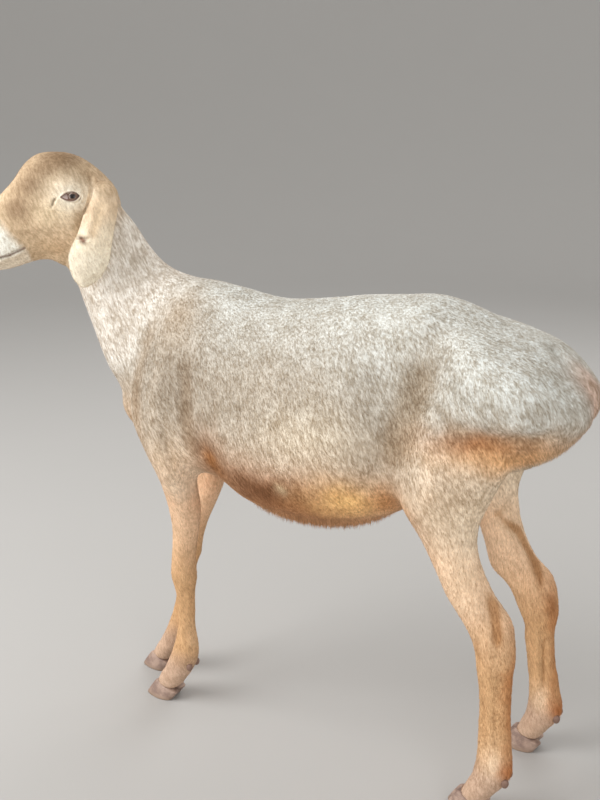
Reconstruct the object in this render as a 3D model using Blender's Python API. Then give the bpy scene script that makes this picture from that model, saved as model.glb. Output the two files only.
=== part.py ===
"""A shorn, fat-rumped sheep standing still: the body is modelled whole and parted with thin cuts.

Body axes while modelling: -X is where the animal walks, +Y its right side, +Z up, metres, floor at z = 0.
Every flesh form is a loft through a few stations; the lofts are fused, smoothed, then sculpted with
broad muscle forms and grooves.  ORIGIN_SHIFT at the end puts the origin under the middle of the animal.
"""
import bmesh
import bpy
import numpy as np
from math import cos, radians, sin
from mathutils import Matrix, Vector

ORIGIN_SHIFT = (0.0709, 0.0)     # x, y from the modelling origin to the floor point under the box centre
VOXEL = 0.0065                 # grid of the fused body
CUT = 0.0004                   # width of every parting cut
BODY_TRIANGLES = 4300          # whole fused body after thinning
EAR_TRIANGLES = 400
HEAD_TURN = radians(28)        # the head looks to the animal's left
TURN_START = -0.265            # the neck starts to turn here
TURN_LENGTH = 0.100            # and has turned in full this much further on
HEAD_AT = (-0.430, -0.056, 0.934)   # midway between the two eyes

# ---------------------------------------------------------------- stations, in millimetres
# top x, top z, bottom x, bottom z, half width, taper (negative: wider below), squareness
TRUNK = (
    (-380, 598, -380, 556, 24, 0.00, 2.0),
    (-367, 652, -367, 535, 50, -0.05, 2.1),
    (-338, 722, -338, 512, 78, -0.06, 2.1),
    (-290, 785, -290, 484, 107, -0.11, 2.1),
    (-225, 804, -225, 462, 131, -0.18, 2.1),
    (-150, 794, -150, 458, 146, -0.18, 2.1),
    (-70, 780, -70, 420, 161, -0.15, 2.1),
    (10, 786, 10, 408, 170, -0.12, 2.1),
    (80, 796, 80, 414, 169, -0.12, 2.1),
    (140, 800, 140, 436, 157, -0.08, 2.2),
    (200, 804, 200, 474, 141, -0.02, 2.2),
    (260, 788, 260, 505, 126, 0.00, 2.2),
    (310, 765, 310, 535, 100, 0.00, 2.2),
)
RUMP = (
    (215, 780, 215, 640, 80, 0.00, 2.0),
    (245, 784, 245, 600, 124, 0.08, 2.1),
    (285, 773, 285, 568, 150, 0.18, 2.2),
    (330, 759, 330, 542, 158, 0.24, 2.2),
    (375, 740, 375, 561, 152, 0.24, 2.2),
    (412, 711, 412, 590, 130, 0.16, 2.2),
    (438, 684, 438, 622, 95, 0.08, 2.1),
)
NECK = (
    (-170, 780, -338, 530, 103, -0.10, 2.0),
    (-225, 802, -373, 585, 99, -0.12, 2.0),
    (-272, 814, -404, 640, 84, -0.12, 2.0),
    (-300, 832, -424, 700, 70, -0.10, 2.0),
    (-323, 862, -440, 750, 61, -0.05, 2.0),
    (-346, 899, -450, 784, 56, 0.00, 2.0),
    (-380, 940, -456, 812, 53, 0.00, 2.0),
)
# head stations, from the middle of the eyes: forward, up of the top; forward, up of the bottom
HEAD = (
    (-66, 19, -48, -88, 38, 0.10, 2.0),
    (-47, 41, -22, -104, 49, 0.12, 2.1),
    (-20, 62, 6, -109, 57, 0.18, 2.1),
    (5, 73, 33, -107, 59, 0.22, 2.2),
    (31, 76, 54, -107, 55, 0.20, 2.2),
    (59, 73, 71, -109, 49, 0.14, 2.2),
    (83, 57, 86, -113, 44, 0.06, 2.2),
    (103, 31, 101, -118, 40, 0.00, 2.2),
    (124, 9, 118, -123, 38, -0.02, 2.3),
    (144, -12, 135, -125, 37, -0.05, 2.4),
    (160, -37, 149, -126, 34, -0.05, 2.4),
    (170, -61, 159, -123, 29, -0.05, 2.3),
    (174, -82, 166, -118, 19, 0.00, 2.1),
)
# limb stations: height, centre x, side y, half depth, half width
FORELEG = (
    (742, -222, 66, 40, 22),
    (660, -247, 84, 60, 38),
    (585, -247, 92, 60, 46),
    (530, -240, 92, 48, 46),
    (480, -229, 86, 34, 42),
    (440, -226, 75, 33, 36),
    (400, -225, 66, 32, 30),
    (365, -228, 61, 28, 26),
    (325, -236, 56, 26, 23),
    (290, -241, 53, 26, 24),
    (262, -242, 51, 25, 24),
    (235, -242, 49, 22, 20),
    (200, -243, 47, 21, 18),
    (160, -244, 46, 21, 17.5),
    (128, -245, 46, 26.5, 20.5),
    (106, -248.5, 46, 30, 24),
    (84, -255, 46, 32, 24.5),
    (62, -267, 46, 32, 25),
    (44, -279, 46, 30.5, 25.5),
    (28, -287, 46, 29, 26.5),
)
HINDLEG = (
    (735, 235, 78, 75, 40),
    (660, 258, 98, 98, 52),
    (585, 258, 106, 94, 54),
    (530, 254, 109, 76, 49),
    (490, 256, 109, 58, 44),
    (455, 264, 108, 46, 39),
    (424, 276, 107, 42, 35),
    (395, 290, 106, 42, 31),
    (368, 305, 104, 46.5, 28),
    (342, 323, 103, 46, 26.5),
    (312, 335.5, 102, 38, 27),
    (286, 341.5, 101, 35, 26.5),
    (258, 342.5, 100, 31.5, 24.5),
    (225, 344.5, 100, 29.5, 22),
    (185, 346, 100, 28, 21),
    (145, 348.5, 100, 29, 22),
    (112, 350, 100, 31, 25),
    (88, 350, 100, 32.5, 26),
    (66, 344, 100, 32, 26),
    (46, 331, 100, 28, 26),
    (28, 322, 100, 26.5, 26.5),
)


def curve_through(stations, steps):
    """Rows of a smooth curve through the stations, `steps` samples for each span."""
    rows = np.asarray(stations, float)
    ends = np.vstack([2 * rows[0] - rows[1], rows, 2 * rows[-1] - rows[-2]])
    t = np.linspace(0, 1, steps, endpoint=False)[:, None]
    out = []
    for a, b, c, d in zip(ends[:-3], ends[1:-2], ends[2:-1], ends[3:]):
        out.append(0.5 * (2 * b + (c - a) * t + (2 * a - 5 * b + 4 * c - d) * t ** 2
                          + (3 * b - a - 3 * c + d) * t ** 3))
    return np.vstack(out + [rows[-1:]])


def ring_angles(around):
    """Cosine and sine of evenly spread angles."""
    a = np.linspace(0, 2 * np.pi, around, endpoint=False)
    return np.cos(a), np.sin(a)


def spread(value, power):
    """Signed power: turns a circle into a superellipse."""
    return np.sign(value) * np.abs(value) ** (2 / power)


def body_rings(stations, steps=7, around=40):
    """Rings of a loft whose stations give a top point, a bottom point, a half width and a shape."""
    s = curve_through(stations, steps)
    c, q = ring_angles(around)
    power = s[:, 6][:, None]
    across, up = spread(c, power), spread(q, power)
    middle, reach = (s[:, 0:2] + s[:, 2:4]) / 2, (s[:, 0:2] - s[:, 2:4]) / 2
    rings = np.zeros((len(s), around, 3))
    rings[..., 0] = middle[:, :1] + reach[:, :1] * up
    rings[..., 2] = middle[:, 1:] + reach[:, 1:] * up
    rings[..., 1] = s[:, 4][:, None] * across * (1 + s[:, 5][:, None] * up)
    return rings / 1000


def limb_rings(stations, side, shift=None, steps=5, around=28):
    """Level rings of a limb; `side` is -1 for the left one; `shift` moves a ring from its height."""
    s = curve_through(stations, steps)
    c, q = ring_angles(around)
    rings = np.zeros((len(s), around, 3))
    rings[..., 0] = s[:, 1][:, None] + s[:, 3][:, None] * c
    rings[..., 1] = s[:, 2][:, None] + s[:, 4][:, None] * q
    rings[..., 2] = s[:, 0][:, None]
    rings /= 1000
    if shift is not None:
        rings += shift(rings[:, :1, 2])[..., :]
    rings[..., 1] *= side
    return rings


def right_fore_shift(z):
    """The right foreleg reaches forward and stands closer to the middle line."""
    low = np.clip(1 - (z / 0.55) ** 2, 0, 1)
    return np.stack([-0.066 * low, -0.013 * np.clip(1 - z / 0.45, 0, 1), 0 * z], -1)


def right_hind_shift(z):
    """The right hind leg is set back, with its hock a little lower."""
    t = np.clip(z / 0.40, 0, 1)
    back = 0.043 - 0.033 * (3 * t ** 2 - 2 * t ** 3)
    return np.stack([back, 0 * z, -0.016 * np.exp(-((z - 0.335) / 0.09) ** 2)], -1)


def turned(points):
    """Bend the points in front of TURN_START round to the animal's left."""
    p = points.copy()
    along = np.maximum(TURN_START - p[..., 0], 0)
    radius = TURN_LENGTH / HEAD_TURN
    t = np.minimum(along, TURN_LENGTH) / radius
    beyond = np.maximum(along - TURN_LENGTH, 0)
    ahead = along > 0
    x = TURN_START - radius * np.sin(t) - beyond * np.cos(t) - p[..., 1] * np.sin(t)
    y = -radius * (1 - np.cos(t)) - beyond * np.sin(t) + p[..., 1] * np.cos(t)
    p[..., 0] = np.where(ahead, x, p[..., 0])
    p[..., 1] = np.where(ahead, y, p[..., 1])
    return p


def from_head(points):
    """Head coordinates (forward, towards the animal's right, up) to body coordinates."""
    p = np.asarray(points, float)
    ahead, right = p[..., 0], p[..., 1]
    x = HEAD_AT[0] - ahead * cos(HEAD_TURN) - right * sin(HEAD_TURN)
    y = HEAD_AT[1] - ahead * sin(HEAD_TURN) + right * cos(HEAD_TURN)
    return np.stack([x, y, HEAD_AT[2] + p[..., 2]], -1)


def rounded(rings, roundness=0.6):
    """Close both ends of a loft with domes."""
    out = [rings]
    for end, inner in ((0, 1), (-1, -2)):
        ring, centre = rings[end], rings[end].mean(0)
        push = centre - rings[inner].mean(0)
        push /= np.linalg.norm(push)
        rise = np.linalg.norm(ring - centre, axis=1).min() * roundness
        angles = np.radians((25, 50, 70, 84))
        dome = [centre + (ring - centre) * np.cos(a) + push * rise * np.sin(a) for a in angles]
        out = [np.stack(dome[::-1])] + out if end == 0 else out + [np.stack(dome)]
    return np.concatenate(out)


def solid(name, rings):
    """A closed mesh object from rings of equal length, capped with flat fans."""
    count, around = rings.shape[:2]
    corner = np.arange(count * around).reshape(count, around)
    nxt = np.roll(corner, -1, axis=1)
    quads = np.stack([corner[:-1], nxt[:-1], nxt[1:], corner[1:]], -1).reshape(-1, 4)
    faces = quads.tolist() + [corner[0][::-1].tolist(), corner[-1].tolist()]
    mesh = bpy.data.meshes.new(name)
    mesh.from_pydata(rings.reshape(-1, 3).tolist(), [], faces)
    return outward(add_object(name, mesh))


def add_object(name, mesh):
    """Link a mesh under the given name."""
    thing = bpy.data.objects.new(name, mesh)
    bpy.context.scene.collection.objects.link(thing)
    return thing


def outward(thing):
    """Turn all faces outward."""
    shape = bmesh.new()
    shape.from_mesh(thing.data)
    bmesh.ops.recalc_face_normals(shape, faces=shape.faces)
    if shape.calc_volume(signed=True) < 0:
        bmesh.ops.reverse_faces(shape, faces=shape.faces)
    shape.to_mesh(thing.data)
    shape.free()
    return thing


def applied(thing):
    """Keep the result of the modifiers as the object's own mesh."""
    result = bpy.data.meshes.new_from_object(thing.evaluated_get(bpy.context.evaluated_depsgraph_get()))
    thing.modifiers.clear()
    thing.data = result
    return thing


def thinned(thing, triangles):
    """Collapse edges until about this many triangles are left."""
    have = sum(len(face.vertices) - 2 for face in thing.data.polygons)
    thin = thing.modifiers.new("thin", "DECIMATE")
    thin.ratio = min(1, triangles / have)
    return applied(thing)


def ball(name, centre, radii, around=24):
    """An ellipsoid."""
    shape = bmesh.new()
    bmesh.ops.create_uvsphere(shape, u_segments=around, v_segments=around * 2 // 3, radius=1)
    bmesh.ops.scale(shape, verts=shape.verts, vec=radii)
    bmesh.ops.translate(shape, verts=shape.verts, vec=centre)
    mesh = bpy.data.meshes.new(name)
    shape.to_mesh(mesh)
    shape.free()
    return add_object(name, mesh)


def fused(things, name, voxel):
    """One closed surface round all the things."""
    with bpy.context.temp_override(active_object=things[0], selected_editable_objects=things):
        bpy.ops.object.join()
    body = things[0]
    body.name = name
    remesh = body.modifiers.new("fuse", "REMESH")
    remesh.mode = "VOXEL"
    remesh.voxel_size = voxel
    return applied(body)


class Clay:
    """The vertices of a fused body as arrays, for smoothing and sculpting."""

    def __init__(self, mesh):
        self.mesh = mesh
        self.p = np.empty(len(mesh.vertices) * 3)
        mesh.vertices.foreach_get("co", self.p)
        self.p = self.p.reshape(-1, 3)
        edges = np.empty(len(mesh.edges) * 2, int)
        mesh.edges.foreach_get("vertices", edges)
        self.edges = edges.reshape(-1, 2)
        self.degree = np.bincount(edges, minlength=len(self.p))[:, None]

    def store(self):
        self.mesh.vertices.foreach_set("co", self.p.ravel())
        self.mesh.update()

    def normals(self):
        self.store()
        n = np.empty(len(self.p) * 3)
        self.mesh.vertices.foreach_get("normal", n)
        return n.reshape(-1, 3)

    def average(self):
        """Mean of each vertex's neighbours."""
        a, b = self.edges.T
        count = len(self.p)
        total = [np.bincount(a, self.p[b, k], count) + np.bincount(b, self.p[a, k], count) for k in range(3)]
        return np.stack(total, -1) / self.degree

    def smooth(self, times, weight=1.0):
        """Relax; every second pass pushes back so that the volume stays."""
        for _ in range(times):
            self.p += 0.50 * weight * (self.average() - self.p)
            self.p -= 0.47 * weight * (self.average() - self.p)

    def soften(self, times, weight):
        """Relax without pushing back: rounds out the joins."""
        for _ in range(times):
            self.p += 0.5 * weight * (self.average() - self.p)

    def near(self, centre, radii):
        """Bell-shaped weight round a centre."""
        return np.exp(-(((self.p - np.asarray(centre)) / np.asarray(radii)) ** 2).sum(1))[:, None]

    def along(self, points, width):
        """Bell-shaped weight round a path, fading at its ends."""
        path = np.asarray(points, float)
        best = np.full(len(self.p), 1e9)
        for a, b in zip(path[:-1], path[1:]):
            d = b - a
            t = np.clip((self.p - a) @ d / (d @ d), 0, 1)
            best = np.minimum(best, ((self.p - a - t[:, None] * d) ** 2).sum(1))
        return np.exp(-best / width ** 2)[:, None]

    def bulge(self, centre, radii, height):
        """Push out along the normals round a centre; height in metres, negative for a hollow."""
        self.p += self.normals() * height * self.near(centre, radii)

    def crease(self, points, width, depth):
        """Press a groove in along a path; a negative depth raises a cord."""
        self.p -= self.normals() * depth * self.along(points, width)


# ---------------------------------------------------------------- sculpted forms, left side, in millimetres
# centre x, y, z; radii x, y, z; height
BULGES = (
    (-248, -120, 670, 34, 60, 95, 4),        # blade of the shoulder
    (-318, -92, 560, 32, 40, 40, 5),         # point of the shoulder
    (-205, -125, 490, 26, 40, 26, 5),        # elbow
    (-128, -150, 520, 34, 50, 50, -6),       # armpit behind the elbow
    (165, -150, 690, 36, 50, 60, -8),        # hollow of the flank
    (160, -150, 590, 30, 50, 50, -5),
    (205, -95, 780, 30, 30, 22, 5),          # point of the hip
    (222, -150, 690, 20, 40, 45, -6),        # hollow before the rump lobe
    (212, -140, 512, 36, 40, 40, 6),         # stifle
    (290, -140, 455, 22, 25, 40, 3),         # gaskin
    (330, -128, 352, 13, 10, 26, -7),        # hollow before the hock tendon, outside
    (330, -78, 352, 13, 10, 26, -6),         # and inside
    (-262, -51, 262, 14, 22, 24, 3),         # front of the knee
    (-220, -51, 262, 10, 18, 16, 3),         # back of the knee
)
# the same for the right hock alone, which is bent further
RIGHT_BULGES = (
    (384, 100, 318, 24, 26, 48, 10),         # its point, set back
    (390, 100, 262, 22, 26, 34, 7),          # the rear of the shank below it
    (288, 100, 330, 22, 26, 28, 8),          # its front
    (333, 100, 236, 18, 26, 22, -6),         # front of the shank below it
)
# path points x, y, z; then width, depth
GROOVES = (
    (((245, -158, 676), (265, -158, 650), (300, -160, 634), (350, -158, 628), (400, -140, 632)), 12, 6),
    (((-285, -98, 770), (-318, -108, 690), (-335, -112, 620)), 20, 5),     # neck before the shoulder
    (((-168, -150, 650), (-150, -150, 590), (-142, -140, 540)), 20, 6),    # behind the upper arm
    (((-236, -66, 235), (-233, -65, 200), (-233, -65, 140)), 7, 2.5),      # fore tendon, outside
    (((-236, -28, 235), (-233, -29, 200), (-233, -29, 140)), 7, 2.0),      # and inside
    (((352, -122, 290), (356, -120, 240), (358, -120, 130)), 8, 3.0),      # hind tendon, outside
    (((352, -79, 290), (356, -80, 240), (358, -80, 130)), 8, 2.5),         # and inside
    (((-292, -46, 60), (-312, -46, 25)), 6, 4),                            # between the front claws
    (((305, -100, 60), (290, -100, 25)), 6, 4),                            # between the hind claws
)
# head forms: forward, sideways, up; radii; height
HEAD_BULGES = (
    (-6, 60, 20, 26, 14, 9, 4.0),            # brow over the eye
    (-8, 58, -19, 24, 14, 9, 2.0),           # rim of the orbit below
    (38, 50, 4, 18, 20, 16, -3.0),           # hollow before the eye
    (-34, 52, 26, 16, 20, 18, -3.0),         # temple
    (2, 52, -66, 30, 22, 28, 3.0),           # cheek
    (62, 42, -48, 34, 14, 10, 2.5),          # ridge of the cheek bone
    (88, 40, -74, 22, 16, 14, -2.0),         # hollow over the corner of the mouth
    (158, 22, -66, 14, 10, 14, 2.5),         # wing of the nostril
    (22, 9, -108, 20, 24, 22, 7.0),          # skin of the throat
)
CLEFT = ((390, 0, 735), (425, 0, 705), (450, 0, 655), (430, 0, 610), (385, 0, 565))
CLEFT_SIZE = (16, 15)          # width and depth of the furrow between the two halves of the rump
# ears: front edge forward, up; rear edge forward, up; distance from the middle; half thickness; cup
EAR = (
    (-38, 10, -70, 14, 42, 9.0, 0),
    (-33, -3, -79, -5, 57, 8.0, 2),
    (-25, -21, -79, -23, 64, 5.5, 5),
    (-19, -40, -75, -42, 69, 4.2, 8),
    (-13, -56, -71, -60, 72, 3.6, 9),
    (-4, -72, -68, -76, 74, 3.3, 9),
    (3, -87, -65, -92, 75, 3.1, 8),
    (5, -103, -60, -107, 75, 3.0, 7),
    (2, -121, -50, -124, 75, 2.9, 5),
    (-4, -135, -38, -136, 74, 2.7, 3),
    (-12, -143, -24, -144, 73, 2.4, 2),
)
RIGHT_EAR_AHEAD = 14           # the right ear hangs this much further forward
EYE_AT = (-7.5, 46.5, 2)       # forward, sideways, up, millimetres
EYE_RADIUS = 0.0150


def mirrored(point):
    """The place on the right side, x, y, z in metres, that answers to one on the left."""
    x, y, z = point
    out = np.array([x, -y, z])
    if z < 0.45:
        shift = right_fore_shift if x < 0 else right_hind_shift
        out += shift(np.array([z]))[0] * np.array([1, 1, 1])
    return out


def sculpt(clay):
    """Muscles, hollows, tendons and the folds of the rump."""
    for x, y, z, rx, ry, rz, height in BULGES:
        centre = np.array([x, y, z]) / 1000
        for place in (centre, mirrored(centre)):
            clay.bulge(place, np.array([rx, ry, rz]) / 1000, height / 1000)
    for x, y, z, rx, ry, rz, height in RIGHT_BULGES:
        clay.bulge(np.array([x, y, z]) / 1000, np.array([rx, ry, rz]) / 1000, height / 1000)
    for path, width, depth in GROOVES:
        path = [np.array(point) / 1000 for point in path]
        for points in (path, [mirrored(point) for point in path]):
            clay.crease(points, width / 1000, depth / 1000)
    for ahead, side, up, ra, rs, ru, height in HEAD_BULGES:
        for sign in (-1, 1):
            place = from_head(np.array([ahead, side * sign, up]) / 1000)
            clay.bulge(place, np.array([ra, rs, ru]) / 1000, height / 1000)
    clay.crease([np.array(point) / 1000 for point in CLEFT], CLEFT_SIZE[0] / 1000, CLEFT_SIZE[1] / 1000)
    clay.store()


def ear_rings(side, steps=5, around=24):
    """The rings of a hanging ear, a thin leaf bent round the cheek."""
    s = curve_through(EAR, steps)
    c, q = ring_angles(around)
    rings = np.zeros((len(s), around, 3))
    middle, reach = (s[:, 0:2] + s[:, 2:4]) / 2, (s[:, 0:2] - s[:, 2:4]) / 2
    rings[..., 0] = middle[:, :1] + reach[:, :1] * q
    rings[..., 2] = middle[:, 1:] + reach[:, 1:] * q
    rings[..., 1] = s[:, 4][:, None] + s[:, 5][:, None] * c + s[:, 6][:, None] * (1 - q ** 2)
    rings[..., 1] *= side
    if side > 0:
        rings[..., 0] += RIGHT_EAR_AHEAD
    return from_head(rings / 1000)


def flesh_lofts():
    """All the lofts of the fused body."""
    lofts = [
        turned(rounded(body_rings(TRUNK, around=48), 0.3)),
        rounded(body_rings(RUMP, around=44), 0.3),
        turned(rounded(body_rings(NECK), 0.3)),
        from_head(rounded(body_rings(HEAD, around=44), 0.35)),
        rounded(limb_rings(FORELEG, -1)),
        rounded(limb_rings(FORELEG, 1, right_fore_shift)),
        rounded(limb_rings(HINDLEG, -1)),
        rounded(limb_rings(HINDLEG, 1, right_hind_shift)),
    ]
    return lofts


# ---------------------------------------------------------------- feet, cuts and eyes
# foot: station x of the coronet front and back with heights, sole toe and heel x, side y, in millimetres
FORE_FOOT = {"front": (-311, 34), "back": (-261, 19), "toe": -334, "heel": -276, "side": 46}
HIND_FOOT = {"front": (298, 35), "back": (347, 20), "toe": 277, "heel": 334, "side": 100}
CLAW_HALF = 24.5               # from the middle of the foot to the outer wall
CLAW_SPLIT = 1.0               # half the space between the claws
DEWCLAW = {"fore": (-234, 12, 80), "hind": (371, 13, 75)}    # x, off the middle of the foot, z
DEWCLAW_RADII = (6.5, 5.0, 8.0)

COLOURS = {
    "body": (0.55, 0.45, 0.36), "face": (0.50, 0.36, 0.24), "leg": (0.46, 0.30, 0.19),
    "rump": (0.52, 0.42, 0.33), "ear": (0.56, 0.43, 0.32), "eye": (0.03, 0.02, 0.015),
    "horn": (0.13, 0.11, 0.09),
}


def claw(name, foot, side, inner, shift):
    """Half a hoof: a D-shaped loft from the flat sole to the slanting coronet."""
    c, q = ring_angles(16)
    rings = []
    for t in (0.0, 0.35, 0.7, 1.0):
        front = foot["toe"] + (foot["front"][0] - foot["toe"]) * t
        back = foot["heel"] + (foot["back"][0] - foot["heel"]) * t
        x = (front + back) / 2 - (back - front) / 2 * c
        reach = (x - foot["front"][0]) / (foot["back"][0] - foot["front"][0])
        top = foot["front"][1] + (foot["back"][1] - foot["front"][1]) * reach
        ahead = np.clip(0.5 + 0.5 * c, 0, 1)
        half = (CLAW_HALF - CLAW_SPLIT) / 2 * (1 - 0.10 * t)
        y = CLAW_SPLIT + half + half * spread(q, 2.6) * (1 - 0.45 * ahead ** 2) - 0.30 * half * ahead ** 2
        y = foot["side"] + (-y if inner else y)
        rings.append(np.stack([x, y, top * t - 0.2 * t], -1))
    rings = np.stack(rings) / 1000
    if shift is not None:
        rings += foot_shift(shift)
    rings[..., 1] *= side
    return solid(name, rings)


def foot_shift(shift):
    """A whole foot moves as its middle does."""
    moved = shift(np.array([0.015]))[0]
    return np.array([moved[0], moved[1], 0])


def plate(name, centre, across, along, half_across, half_along, thickness=CUT):
    """A thin box for parting: two directions in its plane and its half sizes."""
    u, v = Vector(across).normalized(), Vector(along).normalized()
    n = u.cross(v)
    shape = bmesh.new()
    bmesh.ops.create_cube(shape, size=1)
    frame = Matrix((u * 2 * half_across, v * 2 * half_along, n * thickness)).transposed().to_4x4()
    bmesh.ops.transform(shape, matrix=Matrix.Translation(centre) @ frame, verts=shape.verts)
    bmesh.ops.recalc_face_normals(shape, faces=shape.faces)
    mesh = bpy.data.meshes.new(name)
    shape.to_mesh(mesh)
    shape.free()
    return add_object(name, mesh)


def carve(thing, cutter):
    """Take the cutter away from the thing, and remove the cutter."""
    cut = thing.modifiers.new("cut", "BOOLEAN")
    cut.operation = "DIFFERENCE"
    cut.solver = "EXACT"
    cut.object = cutter
    applied(thing)
    bpy.data.objects.remove(cutter)
    return thing


def pieces_of(thing):
    """Split a mesh into its separate closed pieces, largest first."""
    shape = bmesh.new()
    shape.from_mesh(thing.data)
    shape.verts.ensure_lookup_table()
    seen, groups = set(), []
    for seed in shape.verts:
        if seed.index in seen:
            continue
        stack, group = [seed], []
        seen.add(seed.index)
        while stack:
            vert = stack.pop()
            group.append(vert.index)
            for edge in vert.link_edges:
                other = edge.other_vert(vert)
                if other.index not in seen:
                    seen.add(other.index)
                    stack.append(other)
        groups.append(set(group))
    shape.free()
    groups.sort(key=len, reverse=True)
    out = []
    for group in groups:
        part = bmesh.new()
        part.from_mesh(thing.data)
        part.verts.ensure_lookup_table()
        bmesh.ops.delete(part, geom=[v for v in part.verts if v.index not in group], context="VERTS")
        mesh = bpy.data.meshes.new("piece")
        part.to_mesh(mesh)
        part.free()
        out.append(add_object("piece", mesh))
    bpy.data.objects.remove(thing)
    return out


def painted(thing, colour, roughness):
    """Give the thing a material of its own."""
    material = bpy.data.materials.new(thing.name)
    material.use_nodes = True
    shader = material.node_tree.nodes["Principled BSDF"]
    shader.inputs["Base Color"].default_value = (*COLOURS[colour], 1)
    shader.inputs["Roughness"].default_value = roughness
    shader.inputs["Metallic"].default_value = 0
    thing.data.materials.clear()
    thing.data.materials.append(material)
    thing.data.polygons.foreach_set("use_smooth", [True] * len(thing.data.polygons))
    return thing


def sheet(name, path, half_across):
    """A thin bent sheet for parting: a path in x, z drawn out to both sides."""
    line = np.asarray(path, float)
    way = np.gradient(line, axis=0)
    way /= np.linalg.norm(way, axis=1)[:, None]
    off = np.stack([-way[:, 1], way[:, 0]], -1) * CUT / 2
    outline = np.vstack([line + off, (line - off)[::-1]])
    rings = np.zeros((2, len(outline), 3))
    rings[:, :, 0], rings[:, :, 2] = outline[:, 0], outline[:, 1]
    rings[0, :, 1], rings[1, :, 1] = -half_across, half_across
    return solid(name, rings)


# parting plates: centre, direction across, direction along, half sizes
NAPE_CUT = ((-40, 0, -67), (0, 1, 0), (0.547, 0, -0.837), 0.10, 0.13)      # in head coordinates
COLLAR_CUT = ((-0.3235, 0, 0.7025), (0, 1, 0), (-0.48, 0, -0.877), 0.17, 0.16)
TAIL_CUT = ((0.255, 0.84), (0.284, 0.612), (0.48, 0.600))
FORE_CUT = ((-0.262, -0.076, 0.4425), (1, 0, 0), (0, -0.894, 0.447), 0.10, 0.085)
HIND_CUT = ((0.255, -0.100, 0.485), (0.17, 0, 0.04), (0, -0.974, 0.225), 0.088, 0.085)


def part_flesh(body):
    """Cut the fused body into head, neck, trunk, tail and legs and name them by where they lie."""
    centre, across, along, ha, hl = NAPE_CUT
    spots = from_head(np.array([centre, np.add(centre, np.multiply(across, 10)),
                                np.add(centre, np.multiply(along, 10))]) / 1000)
    carve(body, plate("nape", spots[0], spots[1] - spots[0], spots[2] - spots[0], ha, hl))
    carve(body, plate("collar", *COLLAR_CUT))
    carve(body, sheet("rump line", TAIL_CUT, 0.2))
    for side in (-1, 1):
        for cut, forward in ((FORE_CUT, 0.026), (HIND_CUT, -0.012)):
            centre, across, along, ha, hl = cut
            place = (centre[0] - (forward if side > 0 else 0), centre[1] * -side, centre[2])
            carve(body, plate("limb", place, across, (along[0], along[1] * -side, along[2]), ha, hl))
    named = {}
    for piece in pieces_of(body):
        corners = np.array([v.co for v in piece.data.vertices])
        low, high = corners.min(0), corners.max(0)
        middle = (low + high) / 2
        if low[2] < 0.1:
            name = ("foreleg" if middle[0] < 0 else "hindleg") + ("_left" if middle[1] < 0 else "_right")
        elif high[2] > 0.98:
            name = "head"
        elif low[2] > 0.55 and high[0] > 0.4:
            name = "fat_tail"
        elif low[2] > 0.5:
            name = "neck"
        else:
            name = "trunk"
        if name in named:
            raise RuntimeError("two pieces for " + name)
        piece.name = name
        named[name] = piece
    if len(named) != 8:
        raise RuntimeError("pieces found: " + ", ".join(sorted(named)))
    return named


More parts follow.
